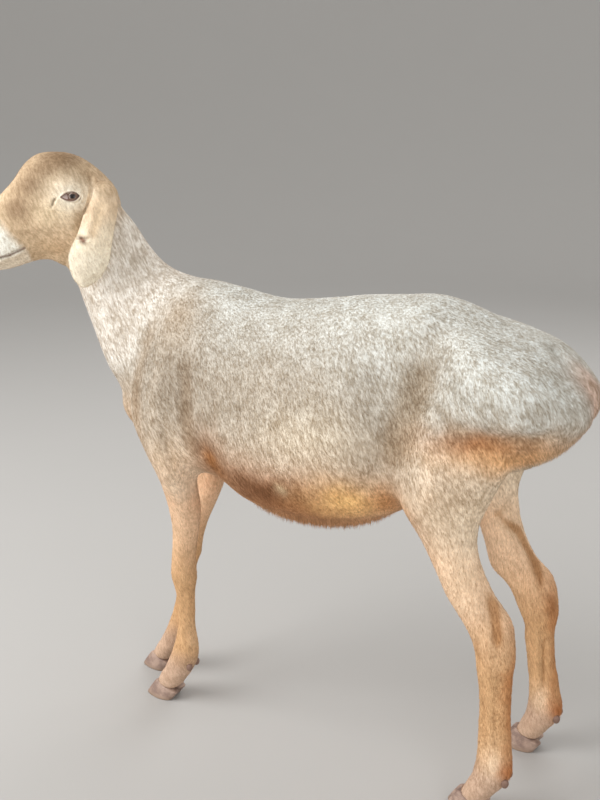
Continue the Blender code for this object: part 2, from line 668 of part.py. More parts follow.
def build():
    """Everything, from the lofts to the named solids."""
    for thing in list(bpy.data.objects):
        bpy.data.objects.remove(thing)
    body = fused([solid("form", rings) for rings in flesh_lofts()], "body", VOXEL)
    clay = Clay(body.data)
    clay.soften(14, 1.0)
    clay.smooth(16)
    sculpt(clay)
    clay.smooth(4)
    clay.store()

    thinned(body, BODY_TRIANGLES)
    skin = body.copy()
    skin.data = body.data.copy()
    bpy.context.scene.collection.objects.link(skin)
    clay = Clay(skin.data)
    skin.data.vertices.foreach_set("co", (clay.p + clay.normals() * 2 * CUT).ravel())

    parts = {}
    feet = (("fore", FORE_FOOT, right_fore_shift), ("hind", HIND_FOOT, right_hind_shift))
    for side, label in ((-1, "left"), (1, "right")):
        for kind, foot, shift in feet:
            move = shift if side > 0 else None
            offset = foot_shift(shift) if side > 0 else np.zeros(3)
            for inner in (True, False):
                name = "hoof_" + kind + "_" + label + ("_inner" if inner else "_outer")
                parts[name] = claw(name, foot, side, inner, move)
            front, back = foot["front"], foot["back"]
            slope = Vector((back[0] - front[0], 0, back[1] - front[1]))
            centre = Vector(((front[0] + back[0]) / 2000, foot["side"] / 1000, (front[1] + back[1]) / 2000))
            centre += Vector(offset)
            centre.y *= side
            down = Vector((0, 1, 0)).cross(slope).normalized()
            down *= -1 if down.z > 0 else 1
            block = plate("below", centre + down * 0.02, slope, (0, 1, 0), 0.055, 0.036, 0.04 + 2 * CUT)
            carve(body, block)
    for kind, (x, off, z) in DEWCLAW.items():
        middle = FORE_FOOT["side"] if kind == "fore" else HIND_FOOT["side"]
        shift = right_fore_shift if kind == "fore" else right_hind_shift
        for side, label in ((-1, "left"), (1, "right")):
            moved = shift(np.array([z / 1000]))[0] if side > 0 else np.zeros(3)
            for sign, which in ((-1, "inner"), (1, "outer")):
                place = np.array([x, middle + sign * off, z]) / 1000 + moved
                place[1] *= side
                name = "dewclaw_" + kind + "_" + label + "_" + which
                parts[name] = ball(name, place, np.array(DEWCLAW_RADII) / 1000, 7)
                carve(body, ball("room", place, np.array(DEWCLAW_RADII) / 1000 + CUT, 7))
    for side, label in ((-1, "left"), (1, "right")):
        ahead, out, up = EYE_AT
        place = from_head(np.array([ahead, out * side, up]) / 1000)
        parts["eye_" + label] = ball("eye_" + label, place, (EYE_RADIUS,) * 3, 16)
        carve(body, ball("socket", place, (EYE_RADIUS + CUT,) * 3, 16))
        ear = thinned(solid("ear", rounded(ear_rings(side), 1.0)), EAR_TRIANGLES)
        cover = skin.copy()
        cover.data = skin.data.copy()
        bpy.context.scene.collection.objects.link(cover)
        ear = pieces_of(carve(ear, cover))
        for scrap in ear[1:]:
            bpy.data.objects.remove(scrap)
        parts["ear_" + label] = ear[0]
        ear[0].name = "ear_" + label
    bpy.data.objects.remove(skin)
    parts.update(part_flesh(body))

    for name, thing in parts.items():
        thing.data.transform(Matrix.Translation((ORIGIN_SHIFT[0], ORIGIN_SHIFT[1], 0)))
        thing.data.name = name
        colour, roughness = "body", 0.9
        if name.startswith(("hoof", "dewclaw")):
            colour, roughness = "horn", 0.55
        elif name.startswith("eye"):
            colour, roughness = "eye", 0.1
        elif "leg" in name:
            colour = "leg"
        elif name.startswith("ear"):
            colour = "ear"
        elif name == "head":
            colour = "face"
        elif name == "fat_tail":
            colour = "rump"
        painted(thing, colour, roughness)


build()
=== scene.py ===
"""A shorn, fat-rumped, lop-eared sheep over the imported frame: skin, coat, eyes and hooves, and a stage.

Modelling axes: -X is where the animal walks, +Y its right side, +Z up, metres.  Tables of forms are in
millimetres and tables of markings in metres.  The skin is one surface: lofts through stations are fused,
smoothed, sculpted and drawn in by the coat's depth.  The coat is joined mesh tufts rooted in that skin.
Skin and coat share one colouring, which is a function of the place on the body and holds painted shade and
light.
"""
from math import cos, pi, radians, sin

import bmesh
import bpy
import numpy as np
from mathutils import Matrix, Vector


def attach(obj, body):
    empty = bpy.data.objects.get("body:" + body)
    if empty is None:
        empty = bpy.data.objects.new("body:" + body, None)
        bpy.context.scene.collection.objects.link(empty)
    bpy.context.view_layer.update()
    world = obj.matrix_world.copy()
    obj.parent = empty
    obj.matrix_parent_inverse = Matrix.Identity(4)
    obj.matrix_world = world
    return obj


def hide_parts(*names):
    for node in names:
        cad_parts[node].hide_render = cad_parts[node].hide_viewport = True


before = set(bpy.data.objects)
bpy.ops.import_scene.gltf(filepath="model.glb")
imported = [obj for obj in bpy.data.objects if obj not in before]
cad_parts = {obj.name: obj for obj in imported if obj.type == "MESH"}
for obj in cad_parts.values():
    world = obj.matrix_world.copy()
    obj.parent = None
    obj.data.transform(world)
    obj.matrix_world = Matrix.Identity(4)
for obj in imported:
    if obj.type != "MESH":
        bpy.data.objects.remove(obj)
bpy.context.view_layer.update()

bl_info = {
    "name": "Shorn sheep",
    "version": (1, 0, 0),
    "blender": (4, 5, 0),
    "location": "View3D > Sidebar > Sheep",
    "description": "Builds a life-size shorn sheep with skin, coat, eyes and hooves",
    "category": "Add Mesh",
}

SHIFT = np.array([0.0709, 0.0, 0.0])    # from the modelling origin to the frame's
HEAD_TURN = radians(28)                  # the head looks to the animal's left
TURN_START = -0.265                      # the neck starts to turn here
TURN_LENGTH = 0.100                      # and has turned in full this much further on
HEAD_AT = (-0.430, -0.056, 0.934)        # origin of the head's own coordinates, between the eyes
RIGHT_EAR_AHEAD = 14                     # the right ear hangs this much further forward, millimetres
EYE_AT = (-7.5, 46.5, 2)                 # an eye: forward, sideways, up from that origin, millimetres
EYE_RADIUS = 0.0150
LID_FRONT, LID_REAR = 0.0185, 0.0092     # how far the lids' opening reaches before and behind the eye's axis
LID_HALF_HEIGHT = 0.0060                 # half the opening's height on that axis
LID_RAISED = 0.0004                      # and how far the opening's middle lies above it
RIGHT_LEGS_BELOW = 0.45                  # forms of the right legs follow their own stance below this height
FORE_REACH = 0.066                       # how far the right fore hoof is set forward
FORE_REACH_TOP = 0.55                    # and the height where nothing of that is left
HIND_BACK = 0.043                        # how far the right hind hoof is set back
HIND_BACK_LESS = 0.033                   # how much less that is
HIND_BACK_TOP = 0.40                     # from this height up
# planes before the neck, in the head's forward and up, and behind it, in x and z: a point and the way ahead
NAPE_AT, NAPE_WAY = (-0.040, -0.067), (0.837, 0.547)
COLLAR_AT, COLLAR_WAY = (-0.3235, 0.7025), (-0.877, 0.480)
SLANT = (0.90, 0.42)                     # x and z of the direction across the lie of the body's coat
FLESH = ("head", "neck", "trunk", "fat_tail", "foreleg_left", "foreleg_right",
         "hindleg_left", "hindleg_right", "ear_left", "ear_right")

# ---------------------------------------------------------------- stations, in millimetres
# top x, top z, bottom x, bottom z, half width, taper (negative: wider below), squareness
TRUNK = (
    (-380, 598, -380, 556, 24, 0.00, 2.0),
    (-367, 652, -367, 535, 50, -0.05, 2.1),
    (-338, 722, -338, 512, 78, -0.06, 2.1),
    (-290, 785, -290, 484, 107, -0.11, 2.1),
    (-225, 804, -225, 462, 131, -0.18, 2.1),
    (-150, 794, -150, 458, 146, -0.18, 2.1),
    (-70, 780, -70, 420, 161, -0.15, 2.1),
    (10, 786, 10, 408, 170, -0.12, 2.1),
    (80, 796, 80, 414, 169, -0.12, 2.1),
    (140, 800, 140, 436, 157, -0.08, 2.2),
    (200, 804, 200, 474, 141, -0.02, 2.2),
    (260, 788, 260, 505, 126, 0.00, 2.2),
    (310, 765, 310, 535, 100, 0.00, 2.2),
)
RUMP = (
    (215, 780, 215, 640, 80, 0.00, 2.0),
    (245, 784, 245, 600, 124, 0.08, 2.1),
    (285, 773, 285, 568, 150, 0.18, 2.2),
    (330, 759, 330, 542, 158, 0.24, 2.2),
    (375, 740, 375, 561, 152, 0.24, 2.2),
    (412, 711, 412, 590, 130, 0.16, 2.2),
    (438, 684, 438, 622, 95, 0.08, 2.1),
)
NECK = (
    (-170, 780, -338, 530, 103, -0.10, 2.0),
    (-225, 802, -373, 585, 99, -0.12, 2.0),
    (-272, 814, -404, 640, 84, -0.12, 2.0),
    (-300, 832, -424, 700, 70, -0.10, 2.0),
    (-323, 862, -440, 750, 61, -0.05, 2.0),
    (-346, 899, -450, 784, 56, 0.00, 2.0),
    (-380, 940, -456, 812, 53, 0.00, 2.0),
)
# the same from the head's origin: forward, up of the top; forward, up of the bottom; and so on
HEAD = (
    (-66, 19, -48, -88, 38, 0.10, 2.0),
    (-47, 41, -22, -104, 49, 0.12, 2.1),
    (-20, 62, 6, -109, 57, 0.18, 2.1),
    (5, 73, 33, -107, 59, 0.22, 2.2),
    (31, 76, 54, -107, 55, 0.20, 2.2),
    (59, 73, 71, -109, 49, 0.14, 2.2),
    (83, 57, 86, -113, 44, 0.06, 2.2),
    (103, 31, 101, -118, 40, 0.00, 2.2),
    (124, 9, 118, -123, 38, -0.02, 2.3),
    (144, -12, 135, -125, 37, -0.05, 2.4),
    (160, -37, 149, -126, 34, -0.05, 2.4),
    (170, -61, 159, -123, 29, -0.05, 2.3),
    (174, -82, 166, -118, 19, 0.00, 2.1),
)
# limb stations: height, centre x, side y, half depth, half width
FORELEG = (
    (742, -222, 66, 40, 22),
    (660, -247, 84, 60, 38),
    (585, -247, 92, 60, 46),
    (530, -240, 92, 48, 46),
    (480, -229, 86, 34, 42),
    (440, -226, 75, 33, 36),
    (400, -225, 66, 32, 30),
    (365, -228, 61, 28, 26),
    (325, -236, 56, 26, 23),
    (290, -241, 53, 26, 24),
    (262, -242, 51, 25, 24),
    (235, -242, 49, 22, 20),
    (200, -243, 47, 21, 18),
    (160, -244, 46, 21, 17.5),
    (128, -245, 46, 26.5, 20.5),
    (106, -248.5, 46, 30, 24),
    (84, -255, 46, 32, 24.5),
    (62, -267, 46, 32, 25),
    (44, -279, 46, 30.5, 25.5),
    (28, -287, 46, 29, 26.5),
)
HINDLEG = (
    (735, 235, 78, 75, 40),
    (660, 258, 98, 98, 52),
    (585, 258, 106, 94, 54),
    (530, 254, 109, 76, 49),
    (490, 256, 109, 58, 44),
    (455, 264, 108, 46, 39),
    (424, 276, 107, 42, 35),
    (395, 290, 106, 42, 31),
    (368, 305, 104, 46.5, 28),
    (342, 323, 103, 46, 26.5),
    (312, 335.5, 102, 38, 27),
    (286, 341.5, 101, 35, 26.5),
    (258, 342.5, 100, 31.5, 24.5),
    (225, 344.5, 100, 29.5, 22),
    (185, 346, 100, 28, 21),
    (145, 348.5, 100, 29, 22),
    (112, 350, 100, 31, 25),
    (88, 350, 100, 32.5, 26),
    (66, 344, 100, 32, 26),
    (46, 331, 100, 28, 26),
    (28, 322, 100, 26.5, 26.5),
)

# ---------------------------------------------------------------- feet, in millimetres
# x and height of the coronet's front and back; x of the sole's toe and heel; y of the foot's middle
FORE_FOOT = {"front": (-311, 34), "back": (-261, 19), "toe": -334, "heel": -276, "side": 46}
HIND_FOOT = {"front": (298, 35), "back": (347, 20), "toe": 277, "heel": 334, "side": 100}
CLAW_HALF = 24.5                         # from the middle of the foot to the outer wall
CLAW_SPLIT = 1.0                         # half the space between the claws
DEWCLAW = {"fore": (-234, 12, 80), "hind": (371, 13, 75)}    # x, off the middle of the foot, z
DEWCLAW_RADII = (6.5, 5.0, 8.0)

# ---------------------------------------------------------------- sculpted forms, left side, in millimetres
# centre x, y, z; radii x, y, z; height
BULGES = (
    (-248, -120, 670, 34, 60, 95, 4),        # blade of the shoulder
    (-318, -92, 560, 32, 40, 40, 5),         # point of the shoulder
    (-205, -125, 490, 26, 40, 26, 5),        # elbow
    (-128, -150, 520, 34, 50, 50, -6),       # armpit behind the elbow
    (165, -150, 690, 36, 50, 60, -8),        # hollow of the flank
    (160, -150, 590, 30, 50, 50, -5),
    (205, -95, 780, 30, 30, 22, 5),          # point of the hip
    (222, -150, 690, 20, 40, 45, -6),        # hollow before the rump lobe
    (212, -140, 512, 36, 40, 40, 6),         # stifle
    (290, -140, 455, 22, 25, 40, 3),         # gaskin
    (330, -128, 352, 13, 10, 26, -7),        # hollow before the hock tendon, outside
    (330, -78, 352, 13, 10, 26, -6),         # and inside
    (-262, -51, 262, 14, 22, 24, 3),         # front of the knee
    (-220, -51, 262, 10, 18, 16, 3),         # back of the knee
)
# the same for the right hock alone, which is bent further
RIGHT_BULGES = (
    (384, 100, 318, 24, 26, 48, 10),         # its point, set back
    (390, 100, 262, 22, 26, 34, 7),          # the rear of the shank below it
    (288, 100, 330, 22, 26, 28, 8),          # its front
    (333, 100, 236, 18, 26, 22, -6),         # front of the shank below it
)
# path points x, y, z; then width, depth
GROOVES = (
    (((245, -158, 676), (265, -158, 650), (300, -160, 634), (350, -158, 628), (400, -140, 632)), 12, 6),
    (((-285, -98, 770), (-318, -108, 690), (-335, -112, 620)), 20, 5),     # neck before the shoulder
    (((-168, -150, 650), (-150, -150, 590), (-142, -140, 540)), 20, 6),    # behind the upper arm
    (((-236, -66, 235), (-233, -65, 200), (-233, -65, 140)), 7, 2.5),      # fore tendon, outside
    (((-236, -28, 235), (-233, -29, 200), (-233, -29, 140)), 7, 2.0),      # and inside
    (((352, -122, 290), (356, -120, 240), (358, -120, 130)), 8, 3.0),      # hind tendon, outside
    (((352, -79, 290), (356, -80, 240), (358, -80, 130)), 8, 2.5),         # and inside
    (((-292, -46, 60), (-312, -46, 25)), 6, 4),                            # between the front claws
    (((305, -100, 60), (290, -100, 25)), 6, 4),                            # between the hind claws
    (((60, -120, 480), (95, -135, 500), (140, -145, 520), (165, -148, 560)), 11, 4),       # belly fold
)
# head forms: forward, sideways, up; radii; height
HEAD_BULGES = (
    (-6, 60, 20, 26, 14, 9, 4.0),            # brow over the eye
    (-8, 58, -19, 24, 14, 9, 2.0),           # rim of the orbit below
    (38, 50, 4, 18, 20, 16, -3.0),           # hollow before the eye
    (-34, 52, 26, 16, 20, 18, -3.0),         # temple
    (2, 52, -66, 30, 22, 28, 3.0),           # cheek
    (62, 42, -48, 34, 14, 10, 2.5),          # ridge of the cheek bone
    (88, 40, -74, 22, 16, 14, -2.0),         # hollow over the corner of the mouth
    (158, 22, -66, 14, 10, 14, 2.5),         # wing of the nostril
    (22, 9, -108, 20, 24, 22, 7.0),          # skin of the throat
)
CLEFT = ((390, 0, 735), (425, 0, 705), (450, 0, 655), (430, 0, 610), (385, 0, 565))
CLEFT_SIZE = (16, 15)          # width and depth of the furrow between the two halves of the rump
CLEFT_GROOVE = (9, 6)          # and of the finer groove along its bottom
# ears: front edge forward, up; rear edge forward, up; distance from the middle; half thickness; cup
EAR = (
    (-38, 10, -70, 14, 42, 9.0, 0),
    (-33, -3, -79, -5, 57, 8.0, 2),
    (-25, -21, -79, -23, 64, 5.5, 5),
    (-19, -40, -75, -42, 69, 4.2, 8),
    (-13, -56, -71, -60, 72, 3.6, 9),
    (-4, -72, -68, -76, 74, 3.3, 9),
    (3, -87, -65, -92, 75, 3.1, 8),
    (5, -103, -60, -107, 75, 3.0, 7),
    (2, -121, -50, -124, 75, 2.9, 5),
    (-4, -135, -38, -136, 74, 2.7, 3),
    (-12, -143, -24, -144, 73, 2.4, 2),
)


# ---------------------------------------------------------------- lofts
def curve_through(stations, steps):
    """Rows of a smooth curve through the stations, `steps` samples for each span.

    Each span is the cubic whose slope at a station is half the difference of the station's neighbours.
    """
    rows = np.asarray(stations, float)
    ends = np.vstack([2 * rows[0] - rows[1], rows, 2 * rows[-1] - rows[-2]])
    t = np.linspace(0, 1, steps, endpoint=False)[:, None]
    out = []
    for a, b, c, d in zip(ends[:-3], ends[1:-2], ends[2:-1], ends[3:]):
        out.append(0.5 * (2 * b + (c - a) * t + (2 * a - 5 * b + 4 * c - d) * t ** 2
                          + (3 * b - a - 3 * c + d) * t ** 3))
    return np.vstack(out + [rows[-1:]])


def ring_angles(around):
    """Cosine and sine of evenly spread angles."""
    a = np.linspace(0, 2 * np.pi, around, endpoint=False)
    return np.cos(a), np.sin(a)


def spread(value, power):
    """Signed power: turns a circle into a superellipse."""
    return np.sign(value) * np.abs(value) ** (2 / power)


def body_rings(stations, steps=7, around=40):
    """Rings of a loft whose stations give a top point, a bottom point, a half width and a shape.

    A ring is a superellipse: height and width are signed powers of sine and cosine, and the width also grows
    by the taper times the height.
    """
    s = curve_through(stations, steps)
    c, q = ring_angles(around)
    power = s[:, 6][:, None]
    across, up = spread(c, power), spread(q, power)
    middle, reach = (s[:, 0:2] + s[:, 2:4]) / 2, (s[:, 0:2] - s[:, 2:4]) / 2
    rings = np.zeros((len(s), around, 3))
    rings[..., 0] = middle[:, :1] + reach[:, :1] * up
    rings[..., 2] = middle[:, 1:] + reach[:, 1:] * up
    rings[..., 1] = s[:, 4][:, None] * across * (1 + s[:, 5][:, None] * up)
    return rings / 1000


def limb_rings(stations, side, shift=None, steps=5, around=28):
    """Level ellipses round a limb; `side` is -1 for the left one; `shift` moves a ring by its height."""
    s = curve_through(stations, steps)
    c, q = ring_angles(around)
    rings = np.zeros((len(s), around, 3))
    rings[..., 0] = s[:, 1][:, None] + s[:, 3][:, None] * c
    rings[..., 1] = s[:, 2][:, None] + s[:, 4][:, None] * q
    rings[..., 2] = s[:, 0][:, None]
    rings /= 1000
    if shift is not None:
        rings += shift(rings[:, :1, 2])
    rings[..., 1] *= side
    return rings


def right_fore_shift(z):
    """The right foreleg reaches forward, by one minus the squared height, and stands a little inward."""
    ahead = FORE_REACH * np.clip(1 - (z / FORE_REACH_TOP) ** 2, 0, 1)
    inward = 0.013 * np.clip(1 - z / RIGHT_LEGS_BELOW, 0, 1)
    return np.stack([-ahead, -inward, 0 * z], -1)


def right_hind_shift(z):
    """The right hind leg is set back, by a smooth step of the height, with its hock a little lower."""
    t = np.clip(z / HIND_BACK_TOP, 0, 1)
    back = HIND_BACK - HIND_BACK_LESS * (3 * t ** 2 - 2 * t ** 3)
    down = 0.016 * np.exp(-((z - 0.335) / 0.09) ** 2)
    return np.stack([back, 0 * z, -down], -1)


def turned(points):
    """Bend the points in front of TURN_START round to the animal's left: along an arc, then straight on."""
    p = points.copy()
    along = np.maximum(TURN_START - p[..., 0], 0)
    radius = TURN_LENGTH / HEAD_TURN
    t = np.minimum(along, TURN_LENGTH) / radius
    beyond = np.maximum(along - TURN_LENGTH, 0)
    ahead = along > 0
    x = TURN_START - radius * np.sin(t) - beyond * np.cos(t) - p[..., 1] * np.sin(t)
    y = -radius * (1 - np.cos(t)) - beyond * np.sin(t) + p[..., 1] * np.cos(t)
    p[..., 0] = np.where(ahead, x, p[..., 0])
    p[..., 1] = np.where(ahead, y, p[..., 1])
    return p


def from_head(points):
    """Head coordinates (forward, towards the animal's right, up) to body coordinates."""
    p = np.asarray(points, float)
    ahead, right = p[..., 0], p[..., 1]
    x = HEAD_AT[0] - ahead * cos(HEAD_TURN) - right * sin(HEAD_TURN)
    y = HEAD_AT[1] - ahead * sin(HEAD_TURN) + right * cos(HEAD_TURN)
    return np.stack([x, y, HEAD_AT[2] + p[..., 2]], -1)


def rounded(rings, roundness=0.6):
    """Close both ends of a loft with domes: rings that shrink by the cosine and rise by the sine."""
    out = [rings]
    for end, inner in ((0, 1), (-1, -2)):
        ring, centre = rings[end], rings[end].mean(0)
        push = centre - rings[inner].mean(0)
        push /= np.linalg.norm(push)
        rise = np.linalg.norm(ring - centre, axis=1).min() * roundness
        angles = np.radians((25, 50, 70, 84))
        dome = [centre + (ring - centre) * np.cos(a) + push * rise * np.sin(a) for a in angles]
        out = [np.stack(dome[::-1])] + out if end == 0 else out + [np.stack(dome)]
    return np.concatenate(out)


def ear_rings(side, steps=6, around=64):
    """The rings of a hanging ear, a thin leaf bent round the cheek.

    A ring is an ellipse from the rear edge to the front one, bent outward by the cup times one minus the
    square of its sine.
    """
    s = curve_through(EAR, steps)
    c, q = ring_angles(around)
    rings = np.zeros((len(s), around, 3))
    middle, reach = (s[:, 0:2] + s[:, 2:4]) / 2, (s[:, 0:2] - s[:, 2:4]) / 2
    rings[..., 0] = middle[:, :1] + reach[:, :1] * q
    rings[..., 2] = middle[:, 1:] + reach[:, 1:] * q
    rings[..., 1] = s[:, 4][:, None] + s[:, 5][:, None] * c + s[:, 6][:, None] * (1 - q ** 2)
    rings[..., 1] *= side
    if side > 0:
        rings[..., 0] += RIGHT_EAR_AHEAD
    return from_head(rings / 1000)


# ---------------------------------------------------------------- small helpers
def step(value, low, high):
    """Smooth step from 0 at low to 1 at high (high may be the smaller)."""
    t = np.clip((value - low) / (high - low), 0, 1)
    return t * t * (3 - 2 * t)


def unit(v):
    """Vectors of length one."""
    return v / np.maximum(np.linalg.norm(v, axis=-1, keepdims=True), 1e-12)


def past_nape(ahead, up):
    """Distance of a place in head coordinates before the neck; takes arrays and shader values."""
    return (ahead - NAPE_AT[0]) * NAPE_WAY[0] + (up - NAPE_AT[1]) * NAPE_WAY[1]


def past_collar(x, z):
    """Distance before the plane between the body and the neck; takes arrays and shader values."""
    return (x - COLLAR_AT[0]) * COLLAR_WAY[0] + (z - COLLAR_AT[1]) * COLLAR_WAY[1]


def across_and_along(x, z):
    """Places across and along the lie of the body's coat; takes arrays and shader values."""
    return x * SLANT[0] + z * SLANT[1], x * SLANT[1] - z * SLANT[0]


def off_path(places, path):
    """Squared distance of each place from a path, and how far along the path that is, 0 to 1."""
    path = np.asarray(path, float)
    runs = np.diff(path, axis=0)
    lengths = np.linalg.norm(runs, axis=1)
    best, share, gone = np.full(len(places), 1e9), np.zeros(len(places)), 0.0
    for start, run, length in zip(path[:-1], runs, lengths):
        t = np.clip((places - start) @ run / (run @ run), 0, 1)
        off = ((places - start - t[:, None] * run) ** 2).sum(1)
        share = np.where(off < best, (gone + t * length) / lengths.sum(), share)
        best, gone = np.minimum(best, off), gone + length
    return best, share


def read(collection, field, width=3, kind=float):
    """A field of all the vertices, edges or triangles of a mesh, as rows of an array."""
    flat = np.empty(len(collection) * width, kind)
    collection.foreach_get(field, flat)
    return flat.reshape(-1, width)


def note(mesh, values):
    """Store named numbers on the points of a mesh, for its finish to read."""
    for name, value in values.items():
        mesh.attributes.new(name, "FLOAT", "POINT").data.foreach_set("value", value)


def to_head(points):
    """Body coordinates to head coordinates: forward, towards the animal's right, up, in metres."""
    x, y = points[..., 0] - HEAD_AT[0], points[..., 1] - HEAD_AT[1]
    ahead = -x * cos(HEAD_TURN) - y * sin(HEAD_TURN)
    right = -x * sin(HEAD_TURN) + y * cos(HEAD_TURN)
    return np.stack([ahead, right, points[..., 2] - HEAD_AT[2]], -1)


def head_way(ahead, right, up):
    """A direction given in head coordinates, in body coordinates."""
    return np.array([-ahead * cos(HEAD_TURN) - right * sin(HEAD_TURN),
                     -ahead * sin(HEAD_TURN) + right * cos(HEAD_TURN), up])


def magnified(points, back=False):
    """Swell space round the head so that one even grid gives it finer cells; back undoes it.

    A point at distance r from the head's middle goes to r + gain (1 - exp(-r / reach)).
    """
    centre, gain, reach = np.array([-0.455, -0.075, 0.905]), 0.17, 0.15
    off = points - centre
    r = np.linalg.norm(off, axis=-1, keepdims=True) + 1e-9
    if not back:
        return centre + off / r * (r + gain * (1 - np.exp(-r / reach)))
    s = r.copy()
    for _ in range(12):
        s -= (s + gain * (1 - np.exp(-s / reach)) - r) / (1 + gain / reach * np.exp(-s / reach))
        s = np.maximum(s, 0)
    return centre + off / r * s


def add_object(name, mesh):
    """Link a mesh under the given name."""
    thing = bpy.data.objects.new(name, mesh)
    bpy.context.scene.collection.objects.link(thing)
    return thing


def grid_mesh(name, rings, caps=True):
    """A tube of quads through rings of equal length and, with caps, a fan on each end."""
    count, around = rings.shape[:2]
    points = rings.reshape(-1, 3)
    corner = np.arange(count * around).reshape(count, around)
    nxt = np.roll(corner, -1, axis=1)
    quads = np.stack([corner[:-1], nxt[:-1], nxt[1:], corner[1:]], -1).reshape(-1, 4)
    faces = [quads]
    if caps:
        first, last = len(points), len(points) + 1
        points = np.vstack([points, rings[0].mean(0), rings[-1].mean(0)])
        low = np.stack([nxt[0], corner[0], np.full(around, first)], -1)
        high = np.stack([corner[-1], nxt[-1], np.full(around, last)], -1)
        faces += [low, high]
    mesh = bpy.data.meshes.new(name)
    mesh.from_pydata(points.tolist(), [], sum((f.tolist() for f in faces), []))
    mesh.polygons.foreach_set("use_smooth", np.ones(len(mesh.polygons), bool))
    return mesh


def faced_outward(mesh):
    """Turn all faces of a closed mesh outward."""
    shape = bmesh.new()
    shape.from_mesh(mesh)
    bmesh.ops.recalc_face_normals(shape, faces=shape.faces)
    if shape.calc_volume(signed=True) < 0:
        bmesh.ops.reverse_faces(shape, faces=shape.faces)
    shape.to_mesh(mesh)
    shape.free()
    return mesh


class Clay:
    """The vertices of a fused body as arrays, for smoothing and sculpting."""

    def __init__(self, mesh):
        self.mesh = mesh
        self.p = read(mesh.vertices, "co")
        self.edges = read(mesh.edges, "vertices", 2, int)
        self.degree = np.bincount(self.edges.ravel(), minlength=len(self.p))[:, None]

    def store(self):
        """Write the points back to the mesh."""
        self.mesh.vertices.foreach_set("co", self.p.ravel())
        self.mesh.update()

    def normals(self):
        """Normals of the vertices as they now stand."""
        self.store()
        return read(self.mesh.vertices, "normal")

    def average(self):
        """Mean of each vertex's neighbours."""
        a, b = self.edges.T
        size = len(self.p)
        total = [np.bincount(a, axis[b], size) + np.bincount(b, axis[a], size) for axis in self.p.T]
        return np.stack(total, -1) / self.degree

    def smooth(self, times, weight=1.0):
        """Relax, and push back a little less each time, so that the volume stays."""
        for _ in range(times):
            self.p += 0.50 * weight * (self.average() - self.p)
            self.p -= 0.47 * weight * (self.average() - self.p)

    def soften(self, times, weight=1.0):
        """Relax without pushing back: rounds out the joins."""
        for _ in range(times):
            self.p += 0.5 * weight * (self.average() - self.p)

    def near(self, centre, radii):
        """Bell-shaped weight round a centre."""
        return np.exp(-(((self.p - np.asarray(centre)) / np.asarray(radii)) ** 2).sum(1))[:, None]

    def along(self, points, width):
        """Bell-shaped weight round a path, fading at its ends."""
        return np.exp(-off_path(self.p, points)[0] / width ** 2)[:, None]

    def bulge(self, centre, radii, height):
        """Push out along the normals round a centre; negative for a hollow."""
        self.p += self.normals() * height * self.near(centre, radii)

    def crease(self, points, width, depth):
        """Press a groove in along a path; a negative depth raises a cord."""
        self.p -= self.normals() * depth * self.along(points, width)


def mirrored(point):
    """The place on the right side, in metres, that answers to one on the left."""
    x, y, z = point
    out = np.array([x, -y, z])
    if z < RIGHT_LEGS_BELOW:
        shift = right_fore_shift if x < 0 else right_hind_shift
        out += shift(np.array([z]))[0]
    return out


def on_both_sides(path):
    """A path in millimetres as it lies on the left and on the right, in metres."""
    left = [np.array(point) / 1000 for point in path]
    return left, [mirrored(point) for point in left]


# ---------------------------------------------------------------- fine forms of the head, in millimetres
# paths on the side of the head: forward, up
MOUTH = ((87, -84), (93, -87), (102, -91), (113, -96), (128, -101), (146, -106), (158, -108), (172, -109))
UPPER_LIP = ((96, -80), (108, -84), (122, -90), (140, -95), (160, -98))
LOWER_LIP = ((92, -96), (104, -101), (118, -106), (136, -112), (154, -115))
NOSTRIL = ((170, -86), (172, -78), (167, -70), (158, -66))
TEAR_PIT = ((24, -2), (28, -8), (31, -14))
TEAR_CREASE = ((24, -1), (19, 2), (16, 3))
TEMPLE_FOLD = ((-33, 32), (-35, 12), (-31, -5), (-25, -22))
JAW_CREASE = ((70, -96), (50, -98), (25, -96))
EAR_RIDGES = (((-40, -14), (-33, -42), (-28, -60)), ((-66, -14), (-67, -45), (-58, -85), (-40, -120)))
EAR_VALLEY = ((-54, -14), (-48, -32), (-41, -50), (-36, -72))
EAR_ROLL = ((-31, -6), (-22, -26), (-17, -44), (-14, -56))
EAR_NOTCH = ((0, -65), (-8, -64), (-18, -63), (-29, -64))
EAR_KNOB = ((-14, -67), (-24, -68))
PHILTRUM = ((174, 0, -80), (172, 0, -95), (167, 0, -106))    # forward, sideways, up
# pressed into the sides of the head in turn: path; width and depth in metres, raised when negative
FACE_LINES = (
    (UPPER_LIP, 0.0055, -0.0010),
    (LOWER_LIP, 0.0050, -0.0008),
    (MOUTH, 0.0020, 0.0032),
    (NOSTRIL, 0.0060, -0.0014),
    (NOSTRIL, 0.0026, 0.0055),
    (TEAR_PIT, 0.0050, -0.0004),
    (TEAR_PIT, 0.0018, 0.0024),
    (TEAR_CREASE, 0.0012, 0.0010),
    (TEMPLE_FOLD, 0.0028, 0.0022),
    (JAW_CREASE, 0.0060, 0.0014),
)
# the same for the outer face of the ears
EAR_LINES = (
    (EAR_RIDGES[0], 0.0050, -0.0010),
    (EAR_RIDGES[1], 0.0050, -0.0010),
    (EAR_VALLEY, 0.0055, 0.0012),
    (EAR_ROLL, 0.0030, -0.0012),
    (EAR_NOTCH, 0.0028, 0.0040),
    (EAR_KNOB, 0.0034, -0.0018),
)
